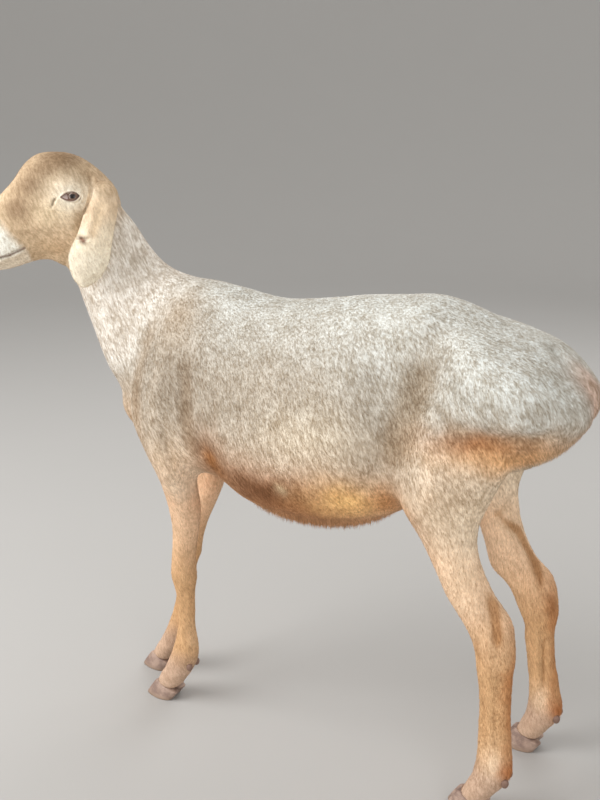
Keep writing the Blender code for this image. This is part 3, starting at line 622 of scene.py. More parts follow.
# what fills the corner between ear and head, in metres: place in the head's coordinates, radii, height
EAR_FILLS = (
    ((-0.054, 0.050, 0.016), (0.024, 0.020, 0.014), 0.0045),
    ((-0.047, 0.050, 0.010), (0.016, 0.020, 0.020), 0.0035),
)
EAR_ROOT, EAR_ROOT_RADII = (-0.052, 0.057, 0.006), (0.034, 0.018, 0.018)     # what is softened round it
BEHIND_TEMPLE = 0.0075         # how much the skin is raised between the temple's fold and the ear
LID_RIM = (0.0011, 0.0014, 0.0012)     # height of the lids' rim, its distance from the opening, its width
LID_FOLD = (0.0011, 0.0056, 0.0015)    # the same for the depth of the fold beyond it
# fine relief seen from the side: the face that it lies on (outer on both sides, inner on the right or left
# leg); path x, z, as the left side stands except for "right_in"; width; depth, raised when negative
RELIEF = (
    ("out", ((-178, 713), (-174, 623), (-169, 556), (-159, 505)), 17, 4.5),    # behind the upper arm
    ("out", ((-112, 656), (-112, 599), (-102, 559)), 10, 2.2),                 # between the ribs
    ("out", ((-62, 640), (-58, 590)), 10, 1.6),
    # groove before the shoulder
    ("out", ((-255, 775), (-271, 699), (-281, 638), (-278, 585), (-268, 533)), 18, 4.5),
    ("out", ((-228, 690), (-234, 620), (-231, 550)), 15, -3.5),                # muscle over the shoulder
    ("out", ((-219, 561), (-209, 518), (-207, 483)), 7, 2.4),
    ("out", ((222, 750), (213, 690), (200, 624), (205, 550)), 30, 5.5),        # flank
    ("out", ((188, 650), (170, 550)), 18, 3.0),
    # groove under the rump
    ("out", ((257, 664), (271, 640), (297, 628), (338, 624), (378, 630), (408, 646)), 13, 6.5),
    ("out", ((238, 614), (242, 560), (246, 510)), 20, -3.5),                   # stifle
    ("out", ((328, 396), (338, 364), (345, 330), (348, 294)), 10, 6.5),        # before the hock tendon
    ("out", ((312, 463), (340, 405), (360, 362)), 7, -1.6),                    # the tendon
    ("out", ((313, 376), (331, 340), (339, 309), (366, 280)), 6, -2.0),
    ("out", ((315, 322), (318, 285), (330, 264)), 6, 2.6),
    ("out", ((329, 240), (332, 194), (337, 128)), 5, 1.8),                     # shank
    ("out", ((346, 232), (351, 150)), 5, 1.5),
    ("out", ((300, 458), (312, 424)), 14, -2.0),
    ("right_in", ((284, 436), (308, 417), (326, 400), (349, 362), (365, 330), (374, 296)), 8, 6.5),
    ("right_in", ((384, 310), (391, 278), (384, 254)), 7, 3.0),
    ("right_in", ((379, 240), (381, 187), (387, 113)), 4.5, 3.2),
    ("right_in", ((370, 236), (372, 187), (377, 118)), 5, -1.4),
    ("right_in", ((284, 426), (308, 452)), 6, 2.5),
    ("left_in", ((333, 399), (345, 350), (347, 320)), 8, 4.0),
    ("left_in", ((352, 235), (355, 187), (358, 113)), 4.5, 2.4),
)


def relief(points, normals):
    """Depth in metres of the fine grooves at each point, negative where a form stands out; it draws in the
    skin and sets the painted shade and light of the colouring.

    Each form is a bell of the distance, seen from the side, to its path, on the face that looks its way.
    """
    x, y, z = points.T
    shift = np.where(x < 0.05, right_fore_shift(z)[:, 0], right_hind_shift(z)[:, 0])
    own = np.stack([x - np.where((y > 0) & (z < RIGHT_LEGS_BELOW), shift, 0), z], -1)
    facing = {"out": normals[:, 1] * np.sign(y), "right_in": np.where(y > 0, -normals[:, 1], 0),
              "left_in": np.where(y < 0, normals[:, 1], 0)}
    total = np.zeros(len(points))
    for face, path, width, depth in RELIEF:
        place = points[:, [0, 2]] if face == "right_in" else own
        off, share = off_path(place, np.array(path) / 1000)
        fade = 0.25 + 0.75 * step(share, 0.0, 0.3) * step(share, 1.0, 0.7)
        total += depth / 1000 * np.exp(-off / (width / 1000) ** 2) * fade * step(facing[face], 0.10, 0.55)
    off = off_path(points, np.array(CLEFT) / 1000)[0]
    return total + CLEFT_GROOVE[1] / 1000 * np.exp(-off / (CLEFT_GROOVE[0] / 1000) ** 2)


def eye_frame(sign):
    """Middle of an eye and its outward, forward and upward directions."""
    middle = from_head(np.array([EYE_AT[0], EYE_AT[1] * sign, EYE_AT[2]]) / 1000)
    out = unit(head_way(0.08, 0.985 * sign, 0.10))
    ahead = head_way(1, 0, -0.08)
    ahead = unit(ahead - out * (ahead @ out))
    up = np.cross(out, ahead)
    return middle, out, ahead, unit(up * np.sign(up[2]))


def eye_opening(points, sign):
    """How far outside the lids' opening each point lies, in metres, seen along the eye's axis.

    Also gives the point's offset from the ball's middle, its distance, and how far forward it lies.  The
    opening is a leaf: its half height falls off in front as 1 - t^2.3 and behind as 1 - t^2.
    """
    middle, out, ahead, up = eye_frame(sign)
    off = points - middle
    r = np.linalg.norm(off, axis=1)
    along, high = off @ ahead, off @ up
    t = np.clip(np.abs(along) / np.where(along > 0, LID_FRONT, LID_REAR), 0, 1.6)
    bow = np.where(along > 0, 1 - t ** 2.3, 1 - t ** 2)
    outside = np.abs(high - LID_RAISED) - LID_HALF_HEIGHT * bow
    far = (off @ out < 0) | (r > 0.045)
    return np.where(far, 1.0, outside), off, r, along


def open_eye(clay, sign):
    """Draw the skin over the ball as lids: a rim round the opening and a fold above and below it.

    In the front corner the skin stays as a shallow hollow, the membrane of the third lid.
    """
    outside, off, r, along = eye_opening(clay.p, sign)
    skin = np.maximum(r, EYE_RADIUS + 0.0013 + 0.0022 * step(outside, 0.0, 0.012))
    rim, fold = (h * np.exp(-((outside - at) / width) ** 2) for h, at, width in (LID_RIM, LID_FOLD))
    corner = step(along, 0.0075, 0.0110)
    inner = (EYE_RADIUS - 0.0020) * (1 - corner) + (skin - 0.0018) * corner
    target = skin + rim - fold * (1 - 0.6 * corner)
    new = inner + (target - inner) * step(outside, -0.0009, 0.0003)
    clay.p += off * ((new / r - 1) * (outside < 0.9))[:, None]


def lid_tone(points):
    """How the lids are coloured: 1 on the dark rim, up to 2 on the pink membrane of the front corner; on the
    hair round the rim it sets painted shade.
    """
    tone = np.zeros(len(points))
    for sign in (-1, 1):
        outside, off, _, along = eye_opening(points, sign)
        above = step(off @ eye_frame(sign)[3], -0.002, 0.003)
        rim = step(outside, 0.0062, 0.0008) ** 2 * (1 - 0.40 * above)
        tone = np.maximum(tone, rim + step(outside, 0.0004, -0.0006) * step(along, 0.0070, 0.0095))
    return tone


def side_crease(clay, path, width, depth):
    """Press a groove into both sides of the head along a path seen from the side; negative raises it.

    The weight is a bell of the distance in the forward-up plane.
    """
    off = off_path(to_head(clay.p)[:, ::2], np.array(path) / 1000)[0]
    weight = np.exp(-off / width ** 2)
    clay.p -= clay.normals() * (depth * weight * head_part(clay.p))[:, None]


def ear_crease(clay, path, width, depth):
    """The same on the outer face of the hanging ears alone."""
    for sign in (-1, 1):
        h = to_head(clay.p)
        ahead = h[:, 0] - (RIGHT_EAR_AHEAD / 1000 if sign > 0 else 0)
        off = off_path(np.stack([ahead, h[:, 2]], -1), np.array(path) / 1000)[0]
        normals = clay.normals()
        facing = (normals @ head_way(0, sign, 0)) > 0.0
        weight = np.exp(-off / width ** 2) * facing * ear_part(clay.p) * (h[:, 1] * sign > 0)
        clay.p -= normals * (depth * weight)[:, None]


def ear_part(points):
    """1 on the hanging ears, 0 elsewhere: by the distance from the leaf that EAR describes."""
    h = to_head(points) * 1000
    ahead = h[..., 0] - np.where(h[..., 1] > 0, RIGHT_EAR_AHEAD, 0)
    side, up = np.abs(h[..., 1]), h[..., 2]
    table = np.array(EAR, float)[::-1]
    level = (table[:, 1] + table[:, 3]) / 2
    front, rear, out, thick, cup = (np.interp(up, level, table[:, k]) for k in (0, 2, 4, 5, 6))
    across = np.clip((ahead - (front + rear) / 2) / ((front - rear) / 2), -1, 1)
    leaf = out + cup * (1 - across ** 2)
    edge = np.maximum(ahead - front, rear - ahead)
    within = step(side - leaf + thick, -3.5, -1.5) * step(edge, 9.0, 4.0)
    return within * step(up, 10.0, -4.0) * step(up, -152, -148)


def head_part(points):
    """1 on the head, 0 on the body, split at the nape and throat."""
    h = to_head(points)
    return step(past_nape(h[..., 0], h[..., 2]), -0.012, 0.012)


def refine(mesh, inside):
    """Halve the edges between points that the test accepts."""
    keep = inside(read(mesh.vertices, "co"))
    chosen = np.flatnonzero(keep[read(mesh.edges, "vertices", 2, int)].all(1))
    shape = bmesh.new()
    shape.from_mesh(mesh)
    shape.edges.ensure_lookup_table()
    edges = [shape.edges[number] for number in chosen]
    bmesh.ops.subdivide_edges(shape, edges=edges, cuts=1, use_grid_fill=True)
    bmesh.ops.triangulate(shape, faces=[f for f in shape.faces if len(f.verts) > 4])
    shape.to_mesh(mesh)
    shape.free()


def near_eyes(reach):
    """A test for points within reach of either eye's opening."""
    spots = [middle + out * EYE_RADIUS for middle, out, _, _ in map(eye_frame, (-1, 1))]
    return lambda p: np.min([np.linalg.norm(p - s, axis=1) for s in spots], axis=0) < reach


LEG_DEPTH, BODY_DEPTH_MORE = 0.0022, 0.0023          # depth of the coat on the legs, and the body's excess
HEAD_DEPTH, MUZZLE_DEPTH, EAR_DEPTH = 0.0017, 0.0006, 0.0009
HANGING_DEPTH = 0.005                    # how much further the skin is drawn in where the coat hangs
SKIN_OVER_HORN = 0.0012                  # how far over the coronet the skin ends


def coat_depth(points, outside):
    """How deep the skin lies under the tips of the coat, in metres."""
    z = points[:, 2]
    depth = LEG_DEPTH + BODY_DEPTH_MORE * step(z, 0.33, 0.52)
    depth += (HEAD_DEPTH - depth) * head_part(points)
    h = to_head(points)
    depth += (MUZZLE_DEPTH - depth) * step(h[:, 0], 0.09, 0.15) * head_part(points)
    depth += (EAR_DEPTH - depth) * ear_part(points)
    depth *= step(outside, 0.000, 0.012)
    return np.where(z < 0.06, depth * 0.6, depth)


def grain(places, cell, seed=0.0):
    """Smooth noise from -1 to 1: random numbers on a lattice with the given cell, blended between."""
    spot = np.asarray(places) / cell
    low = np.floor(spot)
    t = spot - low
    t = t * t * (3 - 2 * t)
    total = 0.0
    for corner in np.ndindex(2, 2, 2):
        wave = np.sin((low + corner) @ (12.9898, 78.233, 37.719) + seed) * 43758.5453
        share = np.where(corner, t, 1 - t).prod(-1)
        total = total + share * (wave - np.floor(wave))
    return total * 2 - 1


def flesh_lofts():
    """All the lofts of the fused body."""
    return [
        turned(rounded(body_rings(TRUNK, around=48), 0.3)),
        rounded(body_rings(RUMP, around=44), 0.3),
        turned(rounded(body_rings(NECK), 0.3)),
        from_head(rounded(body_rings(HEAD, around=44), 0.35)),
        rounded(limb_rings(FORELEG, -1)),
        rounded(limb_rings(FORELEG, 1, right_fore_shift)),
        rounded(limb_rings(HINDLEG, -1)),
        rounded(limb_rings(HINDLEG, 1, right_hind_shift)),
    ]


def fused(lofts, voxel):
    """One closed surface of quads round all the lofts, finer on the head."""
    things = [add_object("loft", faced_outward(grid_mesh("loft", magnified(rings)))) for rings in lofts]
    with bpy.context.temp_override(active_object=things[0], selected_editable_objects=things):
        bpy.ops.object.join()
    body = things[0]
    remesh = body.modifiers.new("fuse", "REMESH")
    remesh.mode = "VOXEL"
    remesh.voxel_size = voxel
    graph = bpy.context.evaluated_depsgraph_get()
    mesh = bpy.data.meshes.new_from_object(body.evaluated_get(graph))
    bpy.data.objects.remove(body)
    mesh.vertices.foreach_set("co", magnified(read(mesh.vertices, "co"), back=True).ravel())
    mesh.update()
    return mesh


def sculpt(clay):
    """Muscles, hollows, tendons and the folds of the rump."""
    for x, y, z, rx, ry, rz, height in BULGES:
        centre = np.array([x, y, z]) / 1000
        for place in (centre, mirrored(centre)):
            clay.bulge(place, np.array([rx, ry, rz]) / 1000, height / 1000)
    for path, width, depth in GROOVES:
        for points in on_both_sides(path):
            clay.crease(points, width / 1000, depth / 1000)
    for x, y, z, rx, ry, rz, height in RIGHT_BULGES:
        clay.bulge(np.array([x, y, z]) / 1000, np.array([rx, ry, rz]) / 1000, height / 1000)
    for ahead, side, up, ra, rs, ru, height in HEAD_BULGES:
        for sign in (-1, 1):
            place = from_head(np.array([ahead, side * sign, up]) / 1000)
            clay.bulge(place, np.array([ra, rs, ru]) / 1000, height / 1000)
    clay.crease(np.array(CLEFT) / 1000, CLEFT_SIZE[0] / 1000, CLEFT_SIZE[1] / 1000)


def sculpt_face(clay):
    """Mouth, nostrils, tear pit, ear folds and lids."""
    for path, width, depth in FACE_LINES:
        side_crease(clay, path, width, depth)
    clay.crease(from_head(np.array(PHILTRUM) / 1000), 0.0022, 0.0022)
    for path, width, depth in EAR_LINES:
        ear_crease(clay, path, width, depth)
    for sign in (-1, 1):
        open_eye(clay, sign)


def trimmed_at_coronets(clay):
    """Flatten the ends of the legs onto the slanting tops of the hooves."""
    for foot, shift in ((FORE_FOOT, right_fore_shift), (HIND_FOOT, right_hind_shift)):
        front, back = np.array(foot["front"]) / 1000, np.array(foot["back"]) / 1000
        for side in (-1, 1):
            move = foot_shift(shift) if side > 0 else np.zeros(3)
            x = (front[0] + back[0]) / 2 + move[0]
            y = side * (foot["side"] / 1000 + move[1])
            slope = (back[1] - front[1]) / (back[0] - front[0])
            level = (front[1] + back[1]) / 2 + slope * (clay.p[:, 0] - x) + SKIN_OVER_HORN
            here = (np.abs(clay.p[:, 0] - x) < 0.06) & (np.abs(clay.p[:, 1] - y) < 0.035)
            low = here & (clay.p[:, 2] < level)
            clay.p[low, 2] = level[low]


def foot_shift(shift):
    """A whole foot moves as its middle does."""
    moved = shift(np.array([0.015]))[0]
    return np.array([moved[0], moved[1], 0])


def with_ears(mesh):
    """Join both ears to the skin as one closed surface, fill the corners and soften the joins."""
    body = add_object("body", mesh)
    for side in (-1, 1):
        rings = rounded(ear_rings(side), 1.0)
        ear = add_object("ear", faced_outward(grid_mesh("ear", rings)))
        join = body.modifiers.new("ear", "BOOLEAN")
        join.operation, join.solver, join.object = "UNION", "EXACT", ear
        graph = bpy.context.evaluated_depsgraph_get()
        body.data = bpy.data.meshes.new_from_object(body.evaluated_get(graph))
        body.modifiers.clear()
        bpy.data.objects.remove(ear)
    mesh = body.data
    bpy.data.objects.remove(body)
    clay = Clay(mesh)
    h = to_head(clay.p)
    for sign in (-1, 1):
        ahead = RIGHT_EAR_AHEAD / 1000 if sign > 0 else 0
        for (forward, sideways, up), radii, height in EAR_FILLS:
            clay.bulge(from_head([forward + ahead, sideways * sign, up]), radii, height)
        root = (EAR_ROOT[0] + ahead, EAR_ROOT[1] * sign, EAR_ROOT[2])
        near = np.exp(-(((h - root) / EAR_ROOT_RADII) ** 2).sum(1))[:, None]
        clay.soften(26, near)
        own = to_head(clay.p) * (1, sign, 1)
        fold = np.array(TEMPLE_FOLD[::-1]) / 1000
        behind = np.interp(own[:, 2], fold[:, 1], fold[:, 0]) + ahead - own[:, 0]
        level = np.exp(-((own[:, 2] - 0.013) / 0.022) ** 2) * step(own[:, 1], 0.020, 0.035)
        amount = BEHIND_TEMPLE * level * step(behind, 0.0, 0.008) * step(behind, 0.045, 0.022)
        amount *= 1 - ear_part(clay.p)
        clay.p += clay.normals() * amount[:, None]
        clay.soften(10, near)
    clay.store()
    return mesh


def body_skin(voxel):
    """The whole skin as a mesh in modelling coordinates."""
    mesh = fused(flesh_lofts(), voxel)
    clay = Clay(mesh)
    clay.soften(14)
    clay.smooth(16)
    clay.store()
    refine(mesh, near_eyes(0.034))
    refine(mesh, lambda p: (to_head(p)[:, 0] > 0.082) & (head_part(p) > 0.5))
    refine(mesh, near_eyes(0.022))
    clay = Clay(mesh)
    clay.smooth(4)
    sculpt(clay)
    clay.smooth(3)
    clay.store()
    mesh = with_ears(mesh)
    clay = Clay(mesh)
    sculpt_face(clay)
    outside = np.minimum(eye_opening(clay.p, -1)[0], eye_opening(clay.p, 1)[0])
    normals = clay.normals()
    inward = coat_depth(clay.p, outside) + HANGING_DEPTH * hanging(clay.p, normals) + relief(clay.p, normals)
    clay.p -= normals * inward[:, None]
    trimmed_at_coronets(clay)
    clay.store()
    return mesh


# ---------------------------------------------------------------- the coat
# piece: tufts, length, width, lift in degrees
COAT_PIECES = {
    "coat_head": (40000, 4.0, 0.70, 10),
    "coat_ears": (21000, 4.0, 0.72, 8),
    "coat_neck": (25500, 5.2, 1.05, 12),
    "coat_chest": (44500, 5.4, 1.10, 12),
    "coat_ribs_left": (31000, 5.4, 1.10, 12),
    "coat_ribs_right": (31000, 5.4, 1.10, 12),
    "coat_loin": (44500, 5.4, 1.10, 12),
    "coat_rump_left": (27500, 5.4, 1.10, 12),
    "coat_rump_right": (27500, 5.4, 1.10, 12),
    "coat_forelegs": (34000, 5.2, 0.95, 10),
    "coat_hindlegs": (48000, 5.6, 1.00, 10),
}
FIRST_SEED = 11                # of the random draws of the first piece, one more for each that follows
SPINE_HEIGHT = 0.615           # the axis that the trunk's coat is unrolled about
UV_MARGIN = 0.003              # left free round the unroll
TUFT_UV = 0.003                # size of one tuft on it
TUFT_SINK = 0.0004             # how deep a tuft's root lies under the skin
TUFT_THICK, TUFT_HEEL = 0.34, 0.4    # how high its ridge stands and how far back that starts, in widths


def coat_region(points):
    """The coat piece that each point belongs to, as its number in the table's order; later rules prevail."""
    x, y, z = points.T
    names = list(COAT_PIECES)
    rules = (
        ("coat_ribs_left", (x < 0.055) & (y < 0)),
        ("coat_ribs_right", (x < 0.055) & (y >= 0)),
        ("coat_chest", x < -0.150),
        ("coat_rump_left", (x > 0.225) & (y < 0)),
        ("coat_rump_right", (x > 0.225) & (y >= 0)),
        ("coat_forelegs", (z < 0.470) & (x < -0.100)),
        ("coat_hindlegs", (z < 0.530) & (x > 0.180)),
        ("coat_hindlegs", (z < 0.445) & (x > 0.100)),
        ("coat_neck", (past_collar(x, z) > 0) & (z > 0.60)),
        ("coat_head", head_part(points) > 0.5),
        ("coat_ears", ear_part(points) > 0.5),
    )
    where = np.full(len(points), names.index("coat_loin"))
    for name, here in rules:
        where[here] = names.index(name)
    return where


def lie_of_coat(points, normals, chance):
    """Unit directions in the surface along which the coat lies, with a slow swirl and some disorder."""
    head, ear = head_part(points)[:, None], ear_part(points)[:, None]
    limb = step(points[:, 2], 0.54, 0.42)[:, None]
    way = np.array([SLANT[1], 0.0, -SLANT[0]]) * (1 - limb) + np.array([0.10, 0.0, -1.0]) * limb
    way = way * (1 - head) + head_way(-0.80, 0, -0.60) * head
    way = way * (1 - ear) + head_way(-0.10, 0, -1.0) * ear
    way = unit(way - normals * (way * normals).sum(1, keepdims=True))
    calm = 1 - 0.5 * head[:, 0]
    turn = (0.20 * grain(points, 0.060, 3.0) + 0.12 * grain(points, 0.022, 7.0)) * calm
    turn += chance.normal(0, 0.12, len(points)) * calm
    side = np.cross(normals, way)
    return way * np.cos(turn)[:, None] + side * np.sin(turn)[:, None]


def coat_streaks(points):
    """Streaks along the lie of the coat, -1 to 1: narrow across it and long with it, finer on the head."""
    x, y, z = points.T
    across, along = across_and_along(x, z)
    laid = np.stack([across, y, along], -1)
    body = grain(laid, np.array([0.0065, 0.009, 0.016]), 1.0)
    body = 0.6 * body + 0.5 * grain(laid, np.array([0.0034, 0.005, 0.009]), 5.0)
    a, s, u = to_head(points).T
    face = np.stack([-0.60 * a + 0.80 * u, s, -0.80 * a - 0.60 * u], -1)
    face = 0.8 * grain(face, np.array([0.0024, 0.004, 0.0065]), 2.0)
    head = head_part(points)
    return body * (1 - head) + face * head


def hanging(points, normals):
    """1 where the coat hangs free: along the belly's lower line and, less, under the rump."""
    x, z = points[:, 0], points[:, 2]
    down = step(normals[:, 2], -0.15, -0.65)
    belly = step(z, 0.47, 0.44) * step(x, -0.16, -0.10) * step(x, 0.24, 0.16)
    rump = 0.4 * step(x, 0.33, 0.38) * step(z, 0.66, 0.60) * step(z, 0.52, 0.56)
    return np.maximum(belly, rump) * down


def coat_growth(points, normals, outside):
    """Length factor of the coat at each root: short on muzzle and feet, long at the rear and belly."""
    x, z = points[:, 0], points[:, 2]
    h = to_head(points)
    grow = np.ones(len(points))
    grow *= 1 - 0.50 * step(h[:, 0], 0.08, 0.15) * head_part(points)
    grow *= 0.35 + 0.65 * step(outside, 0.002, 0.016)
    grow *= 1 + 1.6 * hanging(points, normals)
    rear = step(x, 0.36, 0.40) * step(z, 0.72, 0.66) * step(z, 0.54, 0.60)
    grow *= 1 + 0.25 * rear
    grow *= 1 - 0.35 * step(z, 0.09, 0.05)
    tuft = step(x, 0.20, 0.25) * step(normals[:, 0], 0.35, 0.75) * np.exp(-((z - 0.094) / 0.020) ** 2)
    return grow * (1 + 1.1 * tuft)


def sown(points, normals, faces, count, chance):
    """Roots spread evenly by area over the faces: one place in each equal share of their running area."""
    a, b, c = points[faces[:, 0]], points[faces[:, 1]], points[faces[:, 2]]
    area = np.cumsum(np.linalg.norm(np.cross(b - a, c - a), axis=1))
    share = (np.arange(count) + chance.random(count)) / count * area[-1]
    pick = faces[np.minimum(np.searchsorted(area, share), len(faces) - 1)]
    r, s = np.sqrt(chance.random(count)), chance.random(count)
    w = np.stack([1 - r, r * (1 - s), r * s], -1)[..., None]
    return (points[pick] * w).sum(1), unit((normals[pick] * w).sum(1))


def unrolled(name, points):
    """Places on an unroll of the skin: distance along the part, and angle round it, both 0 to 1."""
    x, y, z = points.T
    if name in ("coat_head", "coat_ears"):
        h = to_head(points)
        along, angle = -h[:, 0], np.arctan2(h[:, 1], h[:, 2] + 0.03)
        if name == "coat_ears":
            along, angle = h[:, 2], np.arctan2(np.abs(h[:, 1]) - 0.070, h[:, 0] + 0.045)
    elif name in ("coat_forelegs", "coat_hindlegs"):
        fore = name == "coat_forelegs"
        table = np.array(FORELEG if fore else HINDLEG)[::-1] / 1000
        shift = right_fore_shift(z) if fore else right_hind_shift(z)
        middle = np.interp(z, table[:, 0], table[:, 1]) + np.where(y > 0, shift[:, 0], 0)
        side = np.interp(z, table[:, 0], table[:, 2])
        along, angle = z, np.arctan2(np.abs(y) - side, x - middle)
    elif name == "coat_neck":
        along, angle = z, np.arctan2(y + 0.02, x + 0.36 + 0.25 * (z - 0.75))
    else:
        along, angle = x, np.arctan2(y, z - SPINE_HEIGHT)
    along = (along - along.min()) / np.ptp(along)
    turn = (angle - angle.min()) / np.ptp(angle)
    if name in ("coat_ears", "coat_forelegs", "coat_hindlegs"):
        turn = np.where(y > (-0.06 if name == "coat_ears" else 0), turn * 0.49, 0.51 + turn * 0.49)
    return np.stack([along, turn], -1) * (1 - 2 * UV_MARGIN) + UV_MARGIN


def tuft_mesh(name, root, normal, way, length, width, lift, place, shade):
    """Spikes of three sides, lying over: a root ring of three points just under the skin, and a tip.

    Their upper sides are shaded with normals near the skin's own, as a close coat is.
    """
    count = len(root)
    side = np.cross(normal, way)
    wide, thick = width[:, None] * side * 0.5, width[:, None] * normal * TUFT_THICK
    low = root - normal * TUFT_SINK
    tip = root + way * (length * np.cos(lift))[:, None] + normal * (length * np.sin(lift))[:, None]
    points = np.stack([low - wide, low + thick - way * width[:, None] * TUFT_HEEL, low + wide, tip], 1)
    flat = np.array([(-0.5, -0.5), (0, 0), (0.5, -0.5), (0, 0.5)]) * TUFT_UV
    corner = (np.array([0, 3, 1, 1, 3, 2, 0, 2, 3, 0, 1, 2]) + 4 * np.arange(count)[:, None]).ravel()
    mesh = bpy.data.meshes.new(name)
    mesh.vertices.add(4 * count)
    mesh.vertices.foreach_set("co", (points + SHIFT).ravel())
    mesh.loops.add(len(corner))
    mesh.loops.foreach_set("vertex_index", corner)
    mesh.polygons.add(4 * count)
    mesh.polygons.foreach_set("loop_start", np.arange(4 * count) * 3)
    mesh.update(calc_edges=True)
    uv = (place[:, None] + flat).reshape(-1, 2)
    mesh.uv_layers.new(name="OFBake").data.foreach_set("uv", uv[corner].ravel())
    mesh.polygons.foreach_set("use_smooth", np.ones(4 * count, bool))
    left, right = unit(normal - side * 0.45), unit(normal + side * 0.45)
    back, front, heel = unit(normal - way * 0.2), unit(normal + way * 0.35), unit(normal * 0.6 - way)
    soft = [left, front, back, back, front, right, -normal, -normal, -normal, heel, heel, heel]
    mesh.normals_split_custom_set(np.stack(soft, 1).reshape(-1, 3))
    # the relief and the lid tone carry painted shade and light into the coat's colouring
    of_tuft = {"shade": shade, "ear": ear_part(root), "hollow": relief(root, normal),
               "lid": np.minimum(lid_tone(root), 1)}
    note(mesh, {"tip": np.tile([0, 0.1, 0, 1.0], count)})
    note(mesh, {title: np.repeat(value, 4) for title, value in of_tuft.items()})
    return mesh


def grow_coat(name, skin, seed, share):
    """Sow and shape the tufts of one coat piece."""
    points, normals, faces, region = skin
    count, length, width, lift = COAT_PIECES[name]
    chance = np.random.default_rng(seed)
    here = faces[region == list(COAT_PIECES).index(name)]
    root, normal = sown(points, normals, here, int(count * share), chance)
    outside = np.minimum(eye_opening(root, -1)[0], eye_opening(root, 1)[0])
    keep = (outside > 0.0007) & ~((normal[:, 2] < -0.7) & (root[:, 2] < 0.05))
    root, normal, outside = root[keep], normal[keep], outside[keep]
    way = lie_of_coat(root, normal, chance)
    streak = coat_streaks(root)
    grow = coat_growth(root, normal, outside) * chance.uniform(0.70, 1.25, len(root))
    wide = width / 1000 * chance.uniform(0.75, 1.25, len(root)) * np.clip(grow, 0.6, 1.1)
    rise = np.radians(lift) * (1 + 0.45 * streak) * chance.uniform(0.5, 1.2, len(root))
    rise += np.radians(60) * hanging(root, normal) * chance.random(len(root)) ** 2
    shade = np.clip(0.5 + 0.30 * streak + 0.32 * chance.normal(size=len(root)), 0, 1)
    return tuft_mesh(name, root, normal, way, length / 1000 * grow, wide, rise, unrolled(name, root), shade)


# ---------------------------------------------------------------- eyes and feet
def eye_ball(sign):
    """A ball with the cornea's low dome: the radius grows by a bell of the angle from its outward axis.

    Also gives each point's place on the iris, forward and up of the axis, in ball radii.
    """
    middle, out, ahead, up = eye_frame(sign)
    polar = np.linspace(0.02, pi - 0.02, 40)[:, None]
    around = np.linspace(0, 2 * pi, 56, endpoint=False)[None, :]
    r = EYE_RADIUS * (1 + 0.035 * np.exp(-(polar / 0.50) ** 4))
    forward, high = np.sin(polar) * np.cos(around), np.sin(polar) * np.sin(around)
    rings = middle + (r * np.cos(polar) * np.ones_like(around))[..., None] * out
    rings = rings + (r * forward)[..., None] * ahead + (r * high)[..., None] * up
    return rings, np.stack([forward, high], -1)


def claw_rings(foot, side, inner, shift, levels=22, around=44):
    """Half a hoof: D-shaped rings from the flat sole to the slanting coronet, with a worn edge below.

    A ring runs from toe to heel by the cosine and out to the wall by a signed power of the sine, and is
    narrower and nearer to the split towards the toe.
    """
    c, q = ring_angles(around)
    rings = []
    for t in np.linspace(0, 1, levels):
        front = foot["toe"] + (foot["front"][0] - foot["toe"]) * t
        back = foot["heel"] + (foot["back"][0] - foot["heel"]) * t
        x = (front + back) / 2 - (back - front) / 2 * c
        reach = (x - foot["front"][0]) / (foot["back"][0] - foot["front"][0])
        top = foot["front"][1] + (foot["back"][1] - foot["front"][1]) * reach
        ahead = np.clip(0.5 + 0.5 * c, 0, 1)
        half = (CLAW_HALF - CLAW_SPLIT) / 2 * (1 - 0.10 * t)
        y = CLAW_SPLIT + half + half * spread(q, 2.6) * (1 - 0.45 * ahead ** 2) - 0.30 * half * ahead ** 2
        y = foot["side"] + (-y if inner else y)
        ring = np.stack([x, y, top * t - 0.2 * t], -1)
        centre = ring.mean(0)
        # rounded at the sole, ringed by growth, and drawn in at the coronet
        worn = 1 - 0.045 * np.exp(-(t / 0.03) ** 2) - 0.012 * sin(t * 40) * (1 - t)
        worn -= 0.10 * step(t, 0.93, 1.0)
        ring[:, :2] = centre[:2] + (ring[:, :2] - centre[:2]) * worn
        rings.append(ring)
    rings = np.stack(rings) / 1000
    if shift is not None:
        rings += foot_shift(shift)
    rings[..., 1] *= side
    return rings


def dewclaw_rings(fore, side, inner, shift, around=28):
    """An egg with its point down: an ellipsoid whose forward and sideways reach shrinks downwards."""
    x, off, z = DEWCLAW["fore" if fore else "hind"]
    foot = FORE_FOOT if fore else HIND_FOOT
    polar = np.linspace(0.06, pi - 0.06, 20)[:, None]
    turn = np.linspace(0, 2 * pi, around, endpoint=False)[None, :]
    slim = 1 + 0.18 * np.cos(polar)
    rx, ry, rz = DEWCLAW_RADII
    y = foot["side"] + (-off if inner else off)
    ahead = x + rx * np.sin(polar) * slim * np.cos(turn)
    across = y + ry * np.sin(polar) * slim * np.sin(turn)
    rings = np.stack([ahead, across, z + rz * np.cos(polar) * np.ones_like(turn)], -1) / 1000
    if shift is not None:
        rings += shift(np.array([z / 1000]))[0]
    rings[..., 1] *= side
    return rings


# ---------------------------------------------------------------- materials
INVERSE_E = 0.3679             # e to the minus one, for bells
MIX_A, MIX_B, MIXED = 6, 7, 2  # the colour sockets of a mix node: two in, one out


